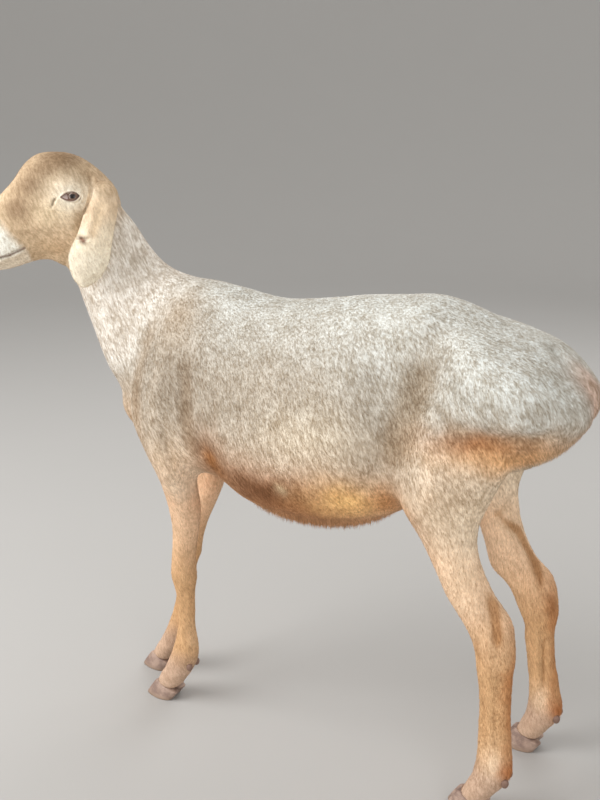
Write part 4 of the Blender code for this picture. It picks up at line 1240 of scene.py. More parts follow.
class Value:
    """A shader socket that can be added, multiplied and raised like a number."""

    def __init__(self, paint, socket):
        self.paint, self.socket = paint, socket

    def _two(self, operation, other, swap=False):
        pair = (other, self) if swap else (self, other)
        return self.paint.node("ShaderNodeMath", {"operation": operation}, {0: pair[0], 1: pair[1]})

    def __add__(self, other):
        return self._two("ADD", other)

    def __radd__(self, other):
        return self._two("ADD", other, True)

    def __sub__(self, other):
        return self._two("SUBTRACT", other)

    def __rsub__(self, other):
        return self._two("SUBTRACT", other, True)

    def __mul__(self, other):
        return self._two("MULTIPLY", other)

    def __rmul__(self, other):
        return self._two("MULTIPLY", other, True)

    def __pow__(self, other):
        return self._two("POWER", other)

    def __rpow__(self, other):
        return self._two("POWER", other, True)

    def absolute(self):
        """The value without its sign."""
        return self.paint.node("ShaderNodeMath", {"operation": "ABSOLUTE"}, {0: self})

    def at_least(self, floor):
        """The larger of the value and a floor."""
        return self._two("MAXIMUM", floor)


class Paint:
    """One node material and the ways of adding to it."""

    def __init__(self, name):
        self.material = bpy.data.materials.new("sheep_" + name)
        self.material.use_nodes = True
        self.tree = self.material.node_tree
        self.shader = self.tree.nodes["Principled BSDF"]

    def node(self, kind, settings, inputs, output=0):
        """Add a node: its settings first, then values or links for its sockets; returns one output."""
        made = self.tree.nodes.new(kind)
        for key, value in settings.items():
            setattr(made, key, value)
        for key, value in inputs.items():
            socket = made.inputs[key]
            if isinstance(value, Value):
                self.tree.links.new(value.socket, socket)
            else:
                socket.default_value = value
        return Value(self, made.outputs[output])

    def feed(self, name, value):
        """Link a value to the surface shader, or set a constant on it."""
        socket = self.shader.inputs[name]
        if isinstance(value, Value):
            self.tree.links.new(value.socket, socket)
        else:
            socket.default_value = value

    def place(self):
        """Where a point is, in modelling coordinates."""
        here = self.node("ShaderNodeTexCoord", {}, {}, "Object")
        return self.vector("SUBTRACT", here, tuple(SHIFT))

    def vector(self, operation, a, b):
        """Vector maths."""
        return self.node("ShaderNodeVectorMath", {"operation": operation}, {0: a, 1: b})

    def dot(self, a, b):
        """Dot product of two vectors."""
        return self.node("ShaderNodeVectorMath", {"operation": "DOT_PRODUCT"}, {0: a, 1: b}, "Value")

    def mix(self, low, high, factor):
        """Blend two colours."""
        return self.node("ShaderNodeMix", {"data_type": "RGBA"},
                         {0: factor, MIX_A: self.colour(low), MIX_B: self.colour(high)}, MIXED)

    def tint(self, colour, factor):
        """Multiply a colour by a value."""
        grey = self.node("ShaderNodeCombineColor", {}, {0: factor, 1: factor, 2: factor})
        return self.multiplied(colour, grey)

    def multiplied(self, colour, other, amount=1.0):
        """Multiply a colour by another, in full or by an amount from 0 to 1."""
        return self.node("ShaderNodeMix", {"data_type": "RGBA", "blend_type": "MULTIPLY"},
                         {0: amount, MIX_A: self.colour(colour), MIX_B: self.colour(other)}, MIXED)

    def colour(self, value):
        """A colour of three numbers gains its fourth."""
        return value if isinstance(value, Value) else (*value[:3], 1.0)

    def ramp(self, value, low, high, to_low=0.0, to_high=1.0):
        """Smooth step between two values."""
        if low > high:
            low, high, to_low, to_high = high, low, to_high, to_low
        return self.node("ShaderNodeMapRange", {"interpolation_type": "SMOOTHSTEP", "clamp": True},
                         {0: value, 1: low, 2: high, 3: to_low, 4: to_high})

    def noise(self, place, scale, detail):
        """Fractal noise, about 0.5 in the middle."""
        return self.node("ShaderNodeTexNoise", {"noise_dimensions": "3D"},
                         {"Vector": place, "Scale": scale, "Detail": detail, "Roughness": 0.55})

    def parted(self, place):
        """The three numbers of a vector."""
        split = self.node("ShaderNodeSeparateXYZ", {}, {0: place}).socket.node
        return [Value(self, output) for output in split.outputs]

    def joined(self, x, y, z):
        """A vector of three numbers."""
        return self.node("ShaderNodeCombineXYZ", {}, {0: x, 1: y, 2: z})

    def scaled(self, place, factor):
        """A vector times a number."""
        return self.node("ShaderNodeVectorMath", {"operation": "SCALE"}, {0: place, 3: factor})

    def spot(self, place, centre, radii):
        """Bell-shaped weight round a centre: e to the minus squared distance in radii."""
        off = self.vector("DIVIDE", self.vector("SUBTRACT", place, tuple(centre)), tuple(radii))
        return INVERSE_E ** self.dot(off, off)

    def stroke(self, place, start, end, width):
        """Bell-shaped weight round the line between two points."""
        run = np.subtract(end, start)
        off = self.vector("SUBTRACT", place, tuple(start))
        share = self.node("ShaderNodeClamp", {}, {0: self.dot(off, tuple(run / (run @ run)))})
        off = self.vector("SUBTRACT", off, self.scaled(tuple(run), share))
        return INVERSE_E ** (self.dot(off, off) * (1 / width ** 2))

    def attribute(self, name):
        """A value stored on the points."""
        return self.node("ShaderNodeAttribute", {"attribute_name": name}, {}, "Fac")

    def spotted(self, colour, place, marks):
        """Blend round marks over a colour: centre, radii, colour, strength."""
        for centre, radii, tone, strength in marks:
            colour = self.mix(colour, srgb(*tone), self.spot(place, centre, radii) * strength)
        return colour

    def lined(self, colour, place, lines):
        """Blend level lines over a colour: start and end forward, up; width, colour, strength."""
        for start, end, width, tone, strength in lines:
            line = self.stroke(place, (*start, 0), (*end, 0), width)
            colour = self.mix(colour, srgb(*tone), line * strength)
        return colour

    def roughen(self, height, strength, distance):
        """Let a height disturb the surface shader's normal."""
        sockets = {"Height": height, "Strength": strength, "Distance": distance}
        self.feed("Normal", self.node("ShaderNodeBump", {}, sockets))


def srgb(r, g, b):
    """A colour of 0 to 255 as the linear numbers that the shader takes."""
    c = np.array([r, g, b]) / 255
    return tuple(np.where(c <= 0.04045, c / 12.92, ((c + 0.055) / 1.055) ** 2.4).tolist())


# ---------------------------------------------------------------- markings of skin and coat, with painted shade and light, in metres
# centre x, distance from the middle plane, z; radii; colour; strength
BODY_MARKS_AND_PAINTED_LIGHT = (
    ((-0.02, 0.14, 0.65), (0.24, 0.12, 0.11), (182, 172, 157), 0.85),     # side of the ribs
    ((0.060, 0.15, 0.585), (0.085, 0.10, 0.050), (232, 222, 202), 0.7),   # paler low behind the ribs
    ((-0.22, 0.14, 0.66), (0.10, 0.08, 0.12), (164, 152, 136), 0.8),      # shoulder, darker tan, partly painted shade
    ((-0.215, 0.08, 0.755), (0.045, 0.10, 0.060), (182, 160, 132), 0.6),  # band up to the withers, darker tan, partly painted shade
    ((-0.34, 0.05, 0.52), (0.06, 0.12, 0.09), (196, 160, 120), 0.7),      # brisket
    ((-0.205, 0.10, 0.485), (0.040, 0.07, 0.060), (255, 240, 216), 1.0),  # forearm, paler, partly painted light
    ((0.285, 0.12, 0.420), (0.050, 0.10, 0.070), (252, 226, 194), 0.8),   # gaskin
    ((0.02, 0.13, 0.484), (0.19, 0.12, 0.062), (202, 146, 100), 1.0),     # belly
    ((0.00, 0.02, 0.425), (0.20, 0.09, 0.035), (222, 150, 84), 0.8),      # fringe of the belly
    ((-0.030, 0.14, 0.498), (0.085, 0.08, 0.028), (124, 82, 52), 0.9),    # dark edge behind the elbow, own dark colour and painted shade
    ((0.112, 0.13, 0.500), (0.056, 0.09, 0.036), (255, 212, 146), 1.0),   # oval before the flank fold
    ((0.176, 0.13, 0.498), (0.026, 0.09, 0.032), (214, 150, 84), 0.9),    # behind that oval
    ((0.012, 0.15, 0.508), (0.012, 0.05, 0.012), (235, 215, 180), 0.7),   # whorl
    ((-0.130, 0.13, 0.520), (0.035, 0.07, 0.050), (159, 104, 51), 0.9),   # armpit, dark orange-brown with painted shade
    ((0.222, 0.12, 0.700), (0.042, 0.10, 0.060), (178, 172, 160), 0.6),   # hollow of the flank: painted shade, here and on the next line
    ((0.186, 0.15, 0.610), (0.030, 0.08, 0.080), (180, 174, 162), 0.6),
    ((0.350, 0.13, 0.600), (0.100, 0.12, 0.032), (252, 202, 144), 0.95),  # underside of the rump
    ((0.325, 0.12, 0.500), (0.080, 0.10, 0.060), (255, 240, 216), 1.0),   # back of the thigh, painted light against the rump's shadow
    ((0.270, 0.14, 0.520), (0.070, 0.10, 0.050), (214, 194, 168), 0.7),
    ((0.352, 0.12, 0.108), (0.020, 0.08, 0.026), (252, 228, 198), 0.8),   # hind fetlock
    ((-0.208, 0.10, 0.150), (0.020, 0.06, 0.030), (255, 236, 208), 0.7),  # fore fetlock, painted highlight
    ((0.300, 0.15, 0.618), (0.064, 0.08, 0.018), (176, 122, 76), 0.75),   # painted shadow in the crease over the rump's underside
    ((0.425, 0.02, 0.640), (0.030, 0.035, 0.080), (206, 164, 138), 0.7),  # cleft
    ((0.374, 0.10, 0.220), (0.013, 0.06, 0.110), (186, 118, 64), 0.8),    # rear of the hind shank
    ((0.378, 0.10, 0.094), (0.018, 0.06, 0.024), (206, 128, 66), 0.8),    # tuft behind the fetlock
)
# the same in the head's coordinates: forward, sideways, up
HEAD_MARKS_AND_SHADOW = (
    ((0.017, 0.02, 0.060), (0.038, 0.05, 0.026), (110, 80, 48), 0.85),    # forehead
    ((0.036, 0.03, 0.040), (0.028, 0.04, 0.018), (120, 92, 60), 0.75),
    ((0.062, 0.03, 0.020), (0.026, 0.04, 0.020), (122, 92, 62), 0.80),    # bridge
    ((0.088, 0.03, -0.016), (0.024, 0.04, 0.022), (128, 98, 68), 0.75),
    ((-0.038, 0.05, 0.030), (0.020, 0.03, 0.024), (148, 116, 80), 0.7),   # before the ear's root
    ((0.004, 0.055, -0.004), (0.044, 0.04, 0.040), (244, 230, 202), 0.7), # pale round the eye
    ((-0.006, 0.058, 0.004), (0.030, 0.03, 0.022), (252, 246, 230), 1.0),
    ((0.036, 0.050, -0.026), (0.024, 0.03, 0.018), (232, 214, 180), 0.5),
    ((0.014, 0.050, -0.068), (0.030, 0.03, 0.024), (240, 216, 184), 0.6), # cheek
    ((0.036, 0.045, -0.085), (0.032, 0.03, 0.018), (206, 172, 130), 0.5),
    # painted shadow in the groove between the cheek and the ear
    ((-0.012, 0.055, -0.045), (0.009, 0.03, 0.034), (200, 168, 130), 0.6),
)
# lines on the side of the head: start and end forward, up; width; colour; strength
HEAD_LINES_AND_SHADE = (
    ((0.087, -0.084), (0.113, -0.096), 0.0022, (120, 92, 76), 0.8),       # mouth, painted shade along its crease
    ((0.113, -0.096), (0.172, -0.109), 0.0022, (120, 92, 76), 0.8),
    ((0.0255, -0.002), (0.0295, -0.011), 0.0022, (104, 88, 62), 0.6),     # tear pit
    ((0.171, -0.083), (0.166, -0.069), 0.0034, (110, 78, 72), 0.9),       # nostril, dark pinkish, painted shade in its opening
)
# ground colours of the parts of the animal
PALE, TAN, LEG = (213, 217, 214), (220, 208, 190), (238, 204, 170)
SHANK, FOOT = (214, 173, 128), (200, 170, 146)
FACE, MUZZLE, CHIN, NECK_COLOUR = (214, 190, 158), (247, 246, 236), (236, 224, 204), (234, 230, 222)
EAR_TOP, EAR_COLOUR, LOBE = (230, 208, 178), (250, 238, 214), (252, 244, 224)
# the same lines on the outer face of the ear: its valley, darkened as painted shade, and the knob by the
# notch
EAR_MARKS_AND_SHADE = (
    # painted shade along the ear's valley
    ((-0.054, -0.012), (-0.040, -0.055), 0.009, (230, 208, 176), 1.0),
    ((-0.019, -0.064), (-0.024, -0.067), 0.0046, (132, 100, 82), 1.0),
)
BASE_COLOURS = (                         # colour; where it starts and is full, by height
    (PALE, 0.52, 0.72),
    (LEG, 0.54, 0.42),
    (SHANK, 0.40, 0.24),
    (FOOT, 0.13, 0.07),
)


def markings_and_painted_light(paint, settings):
    """The animal's colouring, with painted shade in hollows and creases and painted light on some forms, as
    a function of the place on its body.
    """
    place = paint.place()
    x, y, z = paint.parted(place)
    drift = paint.node("ShaderNodeTexNoise", {"noise_dimensions": "3D"},
                       {"Vector": place, "Scale": 16.0, "Detail": 2.0}, 1)
    wander = paint.scaled(paint.vector("SUBTRACT", drift, (0.5, 0.5, 0.5)), 0.040)
    right = paint.ramp(y, -0.001, 0.001)
    fore_step = (1.0 - z * z * (1 / FORE_REACH_TOP ** 2)).at_least(0.0) * FORE_REACH
    hind_step = paint.ramp(z, 0.0, HIND_BACK_TOP, HIND_BACK, HIND_BACK - HIND_BACK_LESS)
    moved = fore_step * paint.ramp(x, 0.05, -0.05) - hind_step * paint.ramp(x, -0.05, 0.05)
    moved = moved * right * paint.ramp(z, 0.50, 0.44)
    folded = paint.vector("ADD", paint.joined(x + moved, y.absolute(), z), wander)
    high_up = paint.parted(folded)[2]

    colour = srgb(*TAN)
    for tone, start, full in BASE_COLOURS:
        colour = paint.mix(colour, srgb(*tone), paint.ramp(high_up, start, full))
    colour = paint.spotted(colour, folded, BODY_MARKS_AND_PAINTED_LIGHT)

    off = paint.vector("SUBTRACT", place, HEAD_AT)
    ahead, up = paint.dot(off, tuple(head_way(1, 0, 0))), paint.dot(off, (0, 0, 1))
    sideways = paint.dot(off, tuple(head_way(0, 1, 0)))
    face_place = paint.joined(ahead, sideways.absolute(), up)
    face_place = paint.vector("ADD", face_place, paint.scaled(wander, 0.15))
    flat_place = paint.joined(ahead, up, 0.0)
    face = paint.spotted(srgb(*FACE), face_place, HEAD_MARKS_AND_SHADOW)
    blur = paint.noise(place, 150.0, 2.0) * 0.012
    lip = paint.ramp(ahead - up * 0.86 + blur, 0.154, 0.182) * paint.ramp(ahead, 0.076, 0.090)
    face = paint.mix(face, srgb(*MUZZLE), lip)
    chin = paint.ramp(up + ahead * 0.38, -0.052, -0.060) * paint.ramp(ahead + blur, 0.084, 0.096)
    face = paint.mix(face, srgb(*CHIN), chin)
    face = paint.lined(face, flat_place, HEAD_LINES_AND_SHADE)

    ear_ahead = ahead - paint.ramp(sideways, -0.001, 0.001) * (RIGHT_EAR_AHEAD / 1000)
    ear_place = paint.joined(ear_ahead, up, 0.0)
    leaf = paint.mix(srgb(*EAR_TOP), srgb(*EAR_COLOUR), paint.ramp(up + blur, -0.010, -0.060))
    leaf = paint.mix(leaf, srgb(*LOBE), paint.ramp(up + blur, -0.060, -0.100))
    leaf = paint.lined(leaf, ear_place, EAR_MARKS_AND_SHADE)

    beyond = past_nape(ahead, up)
    on_neck = paint.ramp(past_collar(x, z), -0.07, 0.01) * paint.ramp(z, 0.60, 0.68)
    colour = paint.mix(colour, srgb(*NECK_COLOUR), on_neck)
    colour = paint.mix(colour, face, paint.ramp(beyond, -0.030, 0.020))
    colour = paint.mix(colour, leaf, paint.attribute("ear"))
    # painted shade in the fine grooves, deeper and browner on the legs, and painted light on the forms that
    # stand out
    hollow = paint.attribute("hollow")
    shadow = paint.mix((0.58, 0.46, 0.34), (0.76, 0.67, 0.58), paint.ramp(high_up, 0.42, 0.52))
    deep = paint.multiplied(colour, shadow, paint.ramp(hollow, 0.0, 0.0055))
    colour = paint.tint(deep, paint.ramp(hollow, 0.0, -0.004, 1.0, 1.15))

    across, along = across_and_along(x, z)
    streaks = paint.noise(paint.joined(across, y, along * 0.28), 250.0, 3.0)
    blotch = paint.noise(place, 42.0, 4.0)
    tone = paint.ramp(streaks * 0.65 + blotch * 0.35, 0.34, 0.66)
    low, high = 1 - settings.mottle, 1 + settings.mottle
    warm = paint.mix((low, low ** 1.35, low ** 1.8), (high, high, high), tone)
    even = paint.ramp(high_up, 0.38, 0.56, 0.50, 1.0) * paint.ramp(beyond, -0.030, 0.020, 1.0, 0.75)
    return paint.multiplied(colour, warm, even * (1.0 - paint.attribute("ear") * 0.45))


DARK_TUFT, LIGHT_TUFT = (0.64, 0.56, 0.48), (1.17, 1.18, 1.21)       # factors on the coat's colour
# the first colour is painted shade on the hair round the lids; the bare rim and the membrane are their own
# colours
LID_HAIR_SHADE, BARE_RIM, MEMBRANE = (140, 112, 96), (112, 82, 70), (188, 170, 164)
IRIS_PALE, IRIS_DARK, IRIS_EDGE, PUPIL = (136, 110, 94), (94, 72, 60), (90, 70, 62), (26, 18, 17)
BALL_EDGE, BALL_WHITE = (70, 50, 42), (176, 158, 148)
HORN_DARK, HORN_PALE, HORN_DUST, SPUR = (134, 110, 98), (170, 144, 128), (150, 126, 108), (126, 98, 84)


def coat_material(settings):
    """Wool and hair: the body's colouring with its painted shade and light, darker at the root, with each
    tuft a little lighter or darker and painted shade on the hair round the lids.
    """
    paint = Paint("coat")
    colour = markings_and_painted_light(paint, settings)
    tip, shade = paint.attribute("tip"), paint.attribute("shade")
    dark = paint.multiplied(colour, DARK_TUFT)
    light = paint.multiplied(colour, LIGHT_TUFT)
    # painted shade on the hair round the lids, where the short tufts cast none
    colour = paint.mix(paint.mix(dark, light, shade), srgb(*LID_HAIR_SHADE), paint.attribute("lid") * 0.8)
    tone = settings.root_tone + tip * (settings.tip_tone - settings.root_tone)
    paint.feed("Base Color", paint.tint(colour, tone))
    paint.feed("Roughness", 0.72 + shade * 0.12)
    paint.feed("Specular IOR Level", 0.25)
    return paint.material


def skin_material(settings):
    """Skin under the coat: the body's colouring darkened a little as painted shade of the coat over it, with
    the fine furrows of close hair.
    """
    paint = Paint("skin")
    place = paint.place()
    # painted shade of the coat over the skin: the colouring times the skin tone, below one, with fine noise
    furrows = paint.noise(place, 420.0, 2.0) * 0.3 + settings.skin_tone - 0.15
    colour = paint.tint(markings_and_painted_light(paint, settings), furrows)
    bare = paint.attribute("lid")
    colour = paint.mix(colour, srgb(*BARE_RIM), paint.ramp(bare, 0.0, 1.0))
    colour = paint.mix(colour, srgb(*MEMBRANE), paint.ramp(bare, 1.0, 2.0))
    paint.feed("Base Color", colour)
    paint.feed("Roughness", 0.80)
    paint.feed("Specular IOR Level", 0.25)
    hair = paint.noise(paint.vector("MULTIPLY", place, (1.0, 1.0, 0.35)), 700.0, 3.0)
    paint.roughen(hair, 0.5, 0.001)
    return paint.material


def eye_material():
    """Dark brown iris with a level slot of a pupil, a thin pale rim and a wet surface."""
    paint = Paint("eye")
    ahead, high = paint.attribute("ahead"), paint.attribute("high")
    reach = (ahead * ahead + high * high * 1.25) ** 0.5
    fibre = paint.noise(paint.joined(ahead, high, 0.0), 9.0, 4.0)
    colour = paint.mix(srgb(*IRIS_PALE), srgb(*IRIS_DARK), paint.ramp(fibre, 0.35, 0.65))
    colour = paint.mix(colour, srgb(*IRIS_EDGE), paint.ramp(reach, 0.40, 0.62))
    slot = (ahead * ahead * 9.0 + high * high * 15.0) ** 0.5
    colour = paint.mix(srgb(*PUPIL), colour, paint.ramp(slot, 0.75, 1.20))
    colour = paint.mix(colour, srgb(*BALL_EDGE), paint.ramp(reach, 0.64, 0.71))
    colour = paint.mix(colour, srgb(*BALL_WHITE), paint.ramp(reach, 0.74, 0.82))
    paint.feed("Base Color", colour)
    paint.feed("Roughness", 0.25 + fibre * 0.1)
    paint.feed("Coat Weight", 0.3)
    paint.feed("Specular IOR Level", 0.3)
    paint.feed("Coat Roughness", 0.08)
    return paint.material


def horn_material():
    """Horn: grey-brown with growth rings, fine upright grain and a dusty sole, darker on the dewclaws."""
    paint = Paint("horn")
    place = paint.place()
    z = paint.parted(place)[2]
    wobble = paint.noise(place, 60.0, 2.0)
    rings = paint.node("ShaderNodeMath", {"operation": "SINE"}, {0: z * 2100.0 + wobble * 9.0})
    fibre = paint.noise(paint.vector("MULTIPLY", place, (1.0, 1.0, 0.15)), 900.0, 3.0)
    colour = paint.mix(srgb(*HORN_DARK), srgb(*HORN_PALE), paint.ramp(wobble, 0.35, 0.65))
    colour = paint.tint(colour, fibre * 0.3 + rings * 0.05 + 0.82)
    colour = paint.mix(srgb(*HORN_DUST), colour, paint.ramp(z, 0.000, 0.012))
    colour = paint.mix(colour, srgb(*SPUR), paint.ramp(z, 0.060, 0.070))
    paint.feed("Base Color", colour)
    paint.feed("Roughness", 0.48 + fibre * 0.2)
    paint.roughen(rings * 0.5 + fibre, 0.4, 0.0006)
    return paint.material


def floor_material(settings):
    """A plain pale floor with hardly any grain."""
    paint = Paint("floor")
    tone = paint.noise(paint.node("ShaderNodeTexCoord", {}, {}, "Object"), 3.0, 2.0) * 0.02 + 0.99
    paint.feed("Base Color", paint.tint(tuple(settings.floor_colour), tone))
    paint.feed("Roughness", 0.85)
    return paint.material


# ---------------------------------------------------------------- settings and operators
class SheepSettings(bpy.types.PropertyGroup):
    """Sizes and tones of the skin and coat."""
    voxel: bpy.props.FloatProperty(name="Skin cell", description="Edge of the skin's grid",
                                   default=0.0066, min=0.004, max=0.02, unit="LENGTH")
    coat_share: bpy.props.FloatProperty(name="Coat share", description="Part of the tufts that are grown",
                                        default=1.0, min=0.05, max=1.0, subtype="FACTOR")
    mottle: bpy.props.FloatProperty(name="Mottle", description="How much the coat's streaks vary in tone",
                                    default=0.27, min=0.0, max=0.5, subtype="FACTOR")
    root_tone: bpy.props.FloatProperty(name="Root tone", description="Brightness of a tuft at its root",
                                       default=0.88, min=0.2, max=1.5, subtype="FACTOR")
    tip_tone: bpy.props.FloatProperty(name="Tip tone", description="Brightness of a tuft at its tip",
                                      default=1.05, min=0.2, max=1.5, subtype="FACTOR")
    # below one, this darkens the skin between the tufts as painted shade of the coat
    skin_tone: bpy.props.FloatProperty(name="Skin tone", description="Brightness between the tufts",
                                       default=0.92, min=0.2, max=1.5, subtype="FACTOR")


class StageSettings(bpy.types.PropertyGroup):
    """Floor, light and camera."""
    floor_colour: bpy.props.FloatVectorProperty(name="Floor", description="Colour of the floor", size=3,
                                                default=(0.42, 0.41, 0.395), min=0, max=1, subtype="COLOR")
    key_power: bpy.props.FloatProperty(name="Key light", description="Power of the overhead soft light",
                                       default=95.0, min=0, unit="POWER")
    world_light: bpy.props.FloatProperty(name="Sky", description="Strength of the light from all round",
                                         default=0.78, min=0, max=5)
    camera_at: bpy.props.FloatVectorProperty(name="Camera", description="Where the camera stands", size=3,
                                             default=(0.6739, -1.303, 1.010), subtype="TRANSLATION",
                                             unit="LENGTH")
    camera_turn: bpy.props.FloatProperty(name="Turn", description="Camera's turn left of straight across",
                                         default=radians(26), subtype="ANGLE", unit="ROTATION")
    camera_dip: bpy.props.FloatProperty(name="Dip", description="Camera's dip below level",
                                        default=radians(15.5), subtype="ANGLE", unit="ROTATION")
    lens: bpy.props.FloatProperty(name="Lens", description="Focal length in millimetres on a 36 mm side",
                                  default=40.5, min=10, max=200)


def material_of(name, maker, *settings):
    """The finish of this name, made the first time that it is asked for."""
    return bpy.data.materials.get("sheep_" + name) or maker(*settings)


def skin_arrays(mesh):
    """Points, normals, triangles and coat regions of the skin in modelling coordinates."""
    mesh.calc_loop_triangles()
    points = read(mesh.vertices, "co") - SHIFT
    faces = read(mesh.loop_triangles, "vertices", 3, int)
    return points, read(mesh.vertices, "normal"), faces, coat_region(points[faces].mean(1))


class SHEEP_OT_skin(bpy.types.Operator):
    """Fuse, sculpt and draw in the skin that stands for all the flesh."""
    bl_idname = "sheep.skin"
    bl_label = "Skin"

    def execute(self, context):
        settings = context.scene.sheep
        mesh = body_skin(settings.voxel)
        mesh.name = "skin"
        points = read(mesh.vertices, "co")
        mesh.vertices.foreach_set("co", (points + SHIFT).ravel())
        normals = read(mesh.vertices, "normal")
        # the relief carries painted shade and light into the skin's colouring; the lid tone gives the bare
        # rim and the membrane their colours
        note(mesh, {"lid": lid_tone(points), "ear": ear_part(points), "hollow": relief(points, normals)})
        mesh.polygons.foreach_set("use_smooth", np.ones(len(mesh.polygons), bool))
        mesh.update()
        skin = add_object("skin", mesh)
        mesh.materials.append(material_of("skin", skin_material, settings))
        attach(skin, "root")
        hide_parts(*FLESH)
        return {"FINISHED"}


class SHEEP_OT_coat(bpy.types.Operator):
    """Grow the coat's tufts out of the skin."""
    bl_idname = "sheep.coat"
    bl_label = "Coat"

    def execute(self, context):
        settings = context.scene.sheep
        skin = skin_arrays(bpy.data.objects["skin"].data)
        for seed, name in enumerate(COAT_PIECES, FIRST_SEED):
            mesh = grow_coat(name, skin, seed, settings.coat_share)
            mesh.materials.append(material_of("coat", coat_material, settings))
            piece = add_object(name, mesh)
            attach(piece, "root")
        return {"FINISHED"}


class SHEEP_OT_eyes(bpy.types.Operator):
    """Make both eyes."""
    bl_idname = "sheep.eyes"
    bl_label = "Eyes"

    def execute(self, context):
        for name, sign in (("eye_left", -1), ("eye_right", 1)):
            rings, gaze = eye_ball(sign)
            mesh = faced_outward(grid_mesh("ball_" + name, rings + SHIFT))
            gaze = np.vstack([gaze.reshape(-1, 2), [[0, 0], [0, 0]]])
            note(mesh, {"ahead": gaze[:, 0], "high": gaze[:, 1]})
            mesh.materials.append(material_of("eye", eye_material))
            ball = add_object("ball_" + name, mesh)
            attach(ball, "root")
            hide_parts(name)
        return {"FINISHED"}


class SHEEP_OT_feet(bpy.types.Operator):
    """Make the hooves and dewclaws."""
    bl_idname = "sheep.feet"
    bl_label = "Feet"

    def execute(self, context):
        feet = (("fore", FORE_FOOT, right_fore_shift), ("hind", HIND_FOOT, right_hind_shift))
        for leg, foot, shift in feet:
            for side, sign in (("left", -1), ("right", 1)):
                for half in ("inner", "outer"):
                    move = shift if sign > 0 else None
                    tail = f"{leg}_{side}_{half}"
                    self.place("horn_" + tail, claw_rings(foot, sign, half == "inner", move), "hoof_" + tail)
                    rings = dewclaw_rings(leg == "fore", sign, half == "inner", move)
                    self.place("spur_" + tail, rings, "dewclaw_" + tail)
        return {"FINISHED"}

    def place(self, name, rings, node):
        """One piece of horn that stands for a node."""
        mesh = faced_outward(grid_mesh(name, rings + SHIFT))
        mesh.materials.append(material_of("horn", horn_material))
        piece = add_object(name, mesh)
        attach(piece, "root")
        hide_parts(node)


# name, place, width of the disc, share of the key light's power
LAMPS = (
    ("key", (-2.2, -1.7, 2.9), 2.6, 1.0),
    ("fill", (2.2, -2.8, 0.8), 2.4, 0.42),
    ("front", (-2.2, -2.2, 0.9), 2.2, 0.40),
    ("back", (0.4, 2.6, 3.0), 2.4, 0.38),
)
LIT_PLACE = (0, 0, 0.6)                  # what the lamps are turned to
SKY_COLOUR = (1.0, 0.985, 0.965, 1)
FLOOR_FLAT, FLOOR_RIM = 5.0, 11.0        # the floor is flat inside the first reach and ends at the second
FLOOR_RISE = 4.0                         # and has risen by this much there


class SHEEP_OT_stage(bpy.types.Operator):
    """Lay the floor, hang the lights and set up the camera."""
    bl_idname = "sheep.stage"
    bl_label = "Stage"

    def execute(self, context):
        settings = context.scene.sheep_stage
        floor = add_object("floor", studio_floor())
        floor.data.materials.append(material_of("floor", floor_material, settings))
        for name, at, size, share in LAMPS:
            lamp = bpy.data.lights.new(name, "AREA")
            lamp.shape, lamp.size, lamp.energy = "DISK", size, settings.key_power * share
            thing = bpy.data.objects.new(name, lamp)
            thing.location = at
            thing.rotation_euler = (Vector(LIT_PLACE) - Vector(at)).to_track_quat("-Z", "Y").to_euler()
            context.scene.collection.objects.link(thing)
        world = bpy.data.worlds.new("studio")
        world.use_nodes = True
        sky = world.node_tree.nodes["Background"].inputs
        sky["Color"].default_value = SKY_COLOUR
        sky["Strength"].default_value = settings.world_light
        context.scene.world = world
        context.scene.view_settings.view_transform = "Standard"
        lens = bpy.data.cameras.new("camera")
        lens.lens, lens.sensor_width, lens.sensor_fit, lens.clip_end = settings.lens, 36.0, "AUTO", 100.0
        camera = bpy.data.objects.new("camera", lens)
        camera.location = settings.camera_at
        turn, dip = settings.camera_turn, settings.camera_dip
        look = Vector((-sin(turn) * cos(dip), cos(turn) * cos(dip), -sin(dip)))
        camera.rotation_euler = look.to_track_quat("-Z", "Y").to_euler()
        context.scene.collection.objects.link(camera)
        context.scene.camera = camera
        return {"FINISHED"}


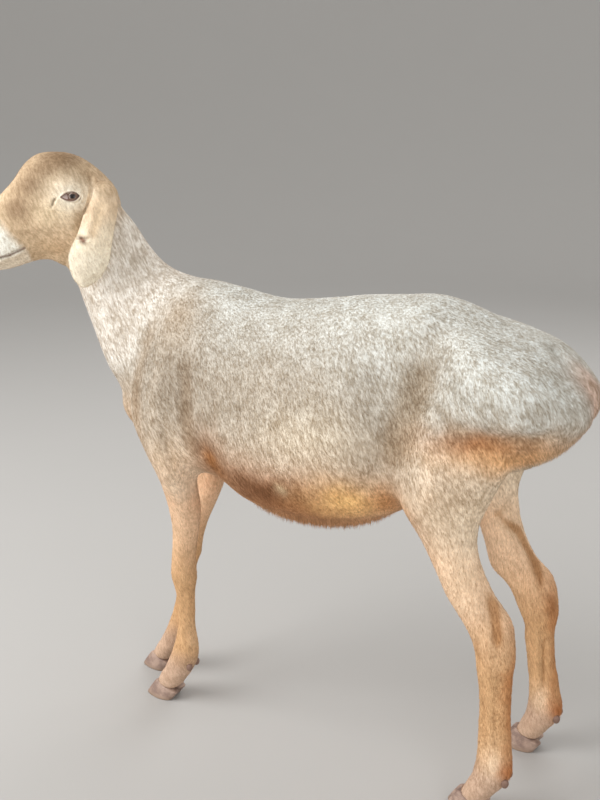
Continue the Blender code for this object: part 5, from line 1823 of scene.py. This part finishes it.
def studio_floor():
    """A flat disc whose far rim curves up into a wall, by a smooth step of the distance."""
    turn = np.linspace(0, 2 * pi, 128, endpoint=False)
    reach = np.concatenate([[0.02, 0.5, 2.0], np.linspace(FLOOR_FLAT, FLOOR_RIM, 40)])[:, None]
    high = FLOOR_RISE * step(reach, FLOOR_FLAT, FLOOR_RIM) ** 1.5
    rings = np.stack([reach * np.cos(turn), reach * np.sin(turn), high * np.ones_like(turn)], -1)
    mesh = grid_mesh("floor", rings, caps=False)
    centre = bmesh.new()
    centre.from_mesh(mesh)
    hole = [e for e in centre.edges if e.is_boundary and e.calc_length() < 0.01]
    bmesh.ops.contextual_create(centre, geom=hole)
    centre.to_mesh(mesh)
    centre.free()
    return mesh


class SHEEP_PT_panel(bpy.types.Panel):
    """Lists the settings and the steps of the build."""
    bl_label = "Shorn sheep"
    bl_idname = "SHEEP_PT_panel"
    bl_space_type = "VIEW_3D"
    bl_region_type = "UI"
    bl_category = "Sheep"

    def draw(self, context):
        for group in (context.scene.sheep, context.scene.sheep_stage):
            for name in group.__annotations__:
                self.layout.prop(group, name)
        for step_class in STEPS:
            self.layout.operator(step_class.bl_idname)


STEPS = (SHEEP_OT_skin, SHEEP_OT_eyes, SHEEP_OT_feet, SHEEP_OT_coat, SHEEP_OT_stage)
CLASSES = (SheepSettings, StageSettings) + STEPS + (SHEEP_PT_panel,)


def register():
    """Add the classes and the settings."""
    for item in CLASSES:
        bpy.utils.register_class(item)
    bpy.types.Scene.sheep = bpy.props.PointerProperty(type=SheepSettings)
    bpy.types.Scene.sheep_stage = bpy.props.PointerProperty(type=StageSettings)


def unregister():
    """Take them away again."""
    del bpy.types.Scene.sheep_stage
    del bpy.types.Scene.sheep
    for item in reversed(CLASSES):
        bpy.utils.unregister_class(item)


def main():
    """Build everything in order."""
    register()
    bpy.ops.sheep.skin()
    bpy.ops.sheep.eyes()
    bpy.ops.sheep.feet()
    bpy.ops.sheep.coat()
    bpy.ops.sheep.stage()


if __name__ == "__main__":
    main()
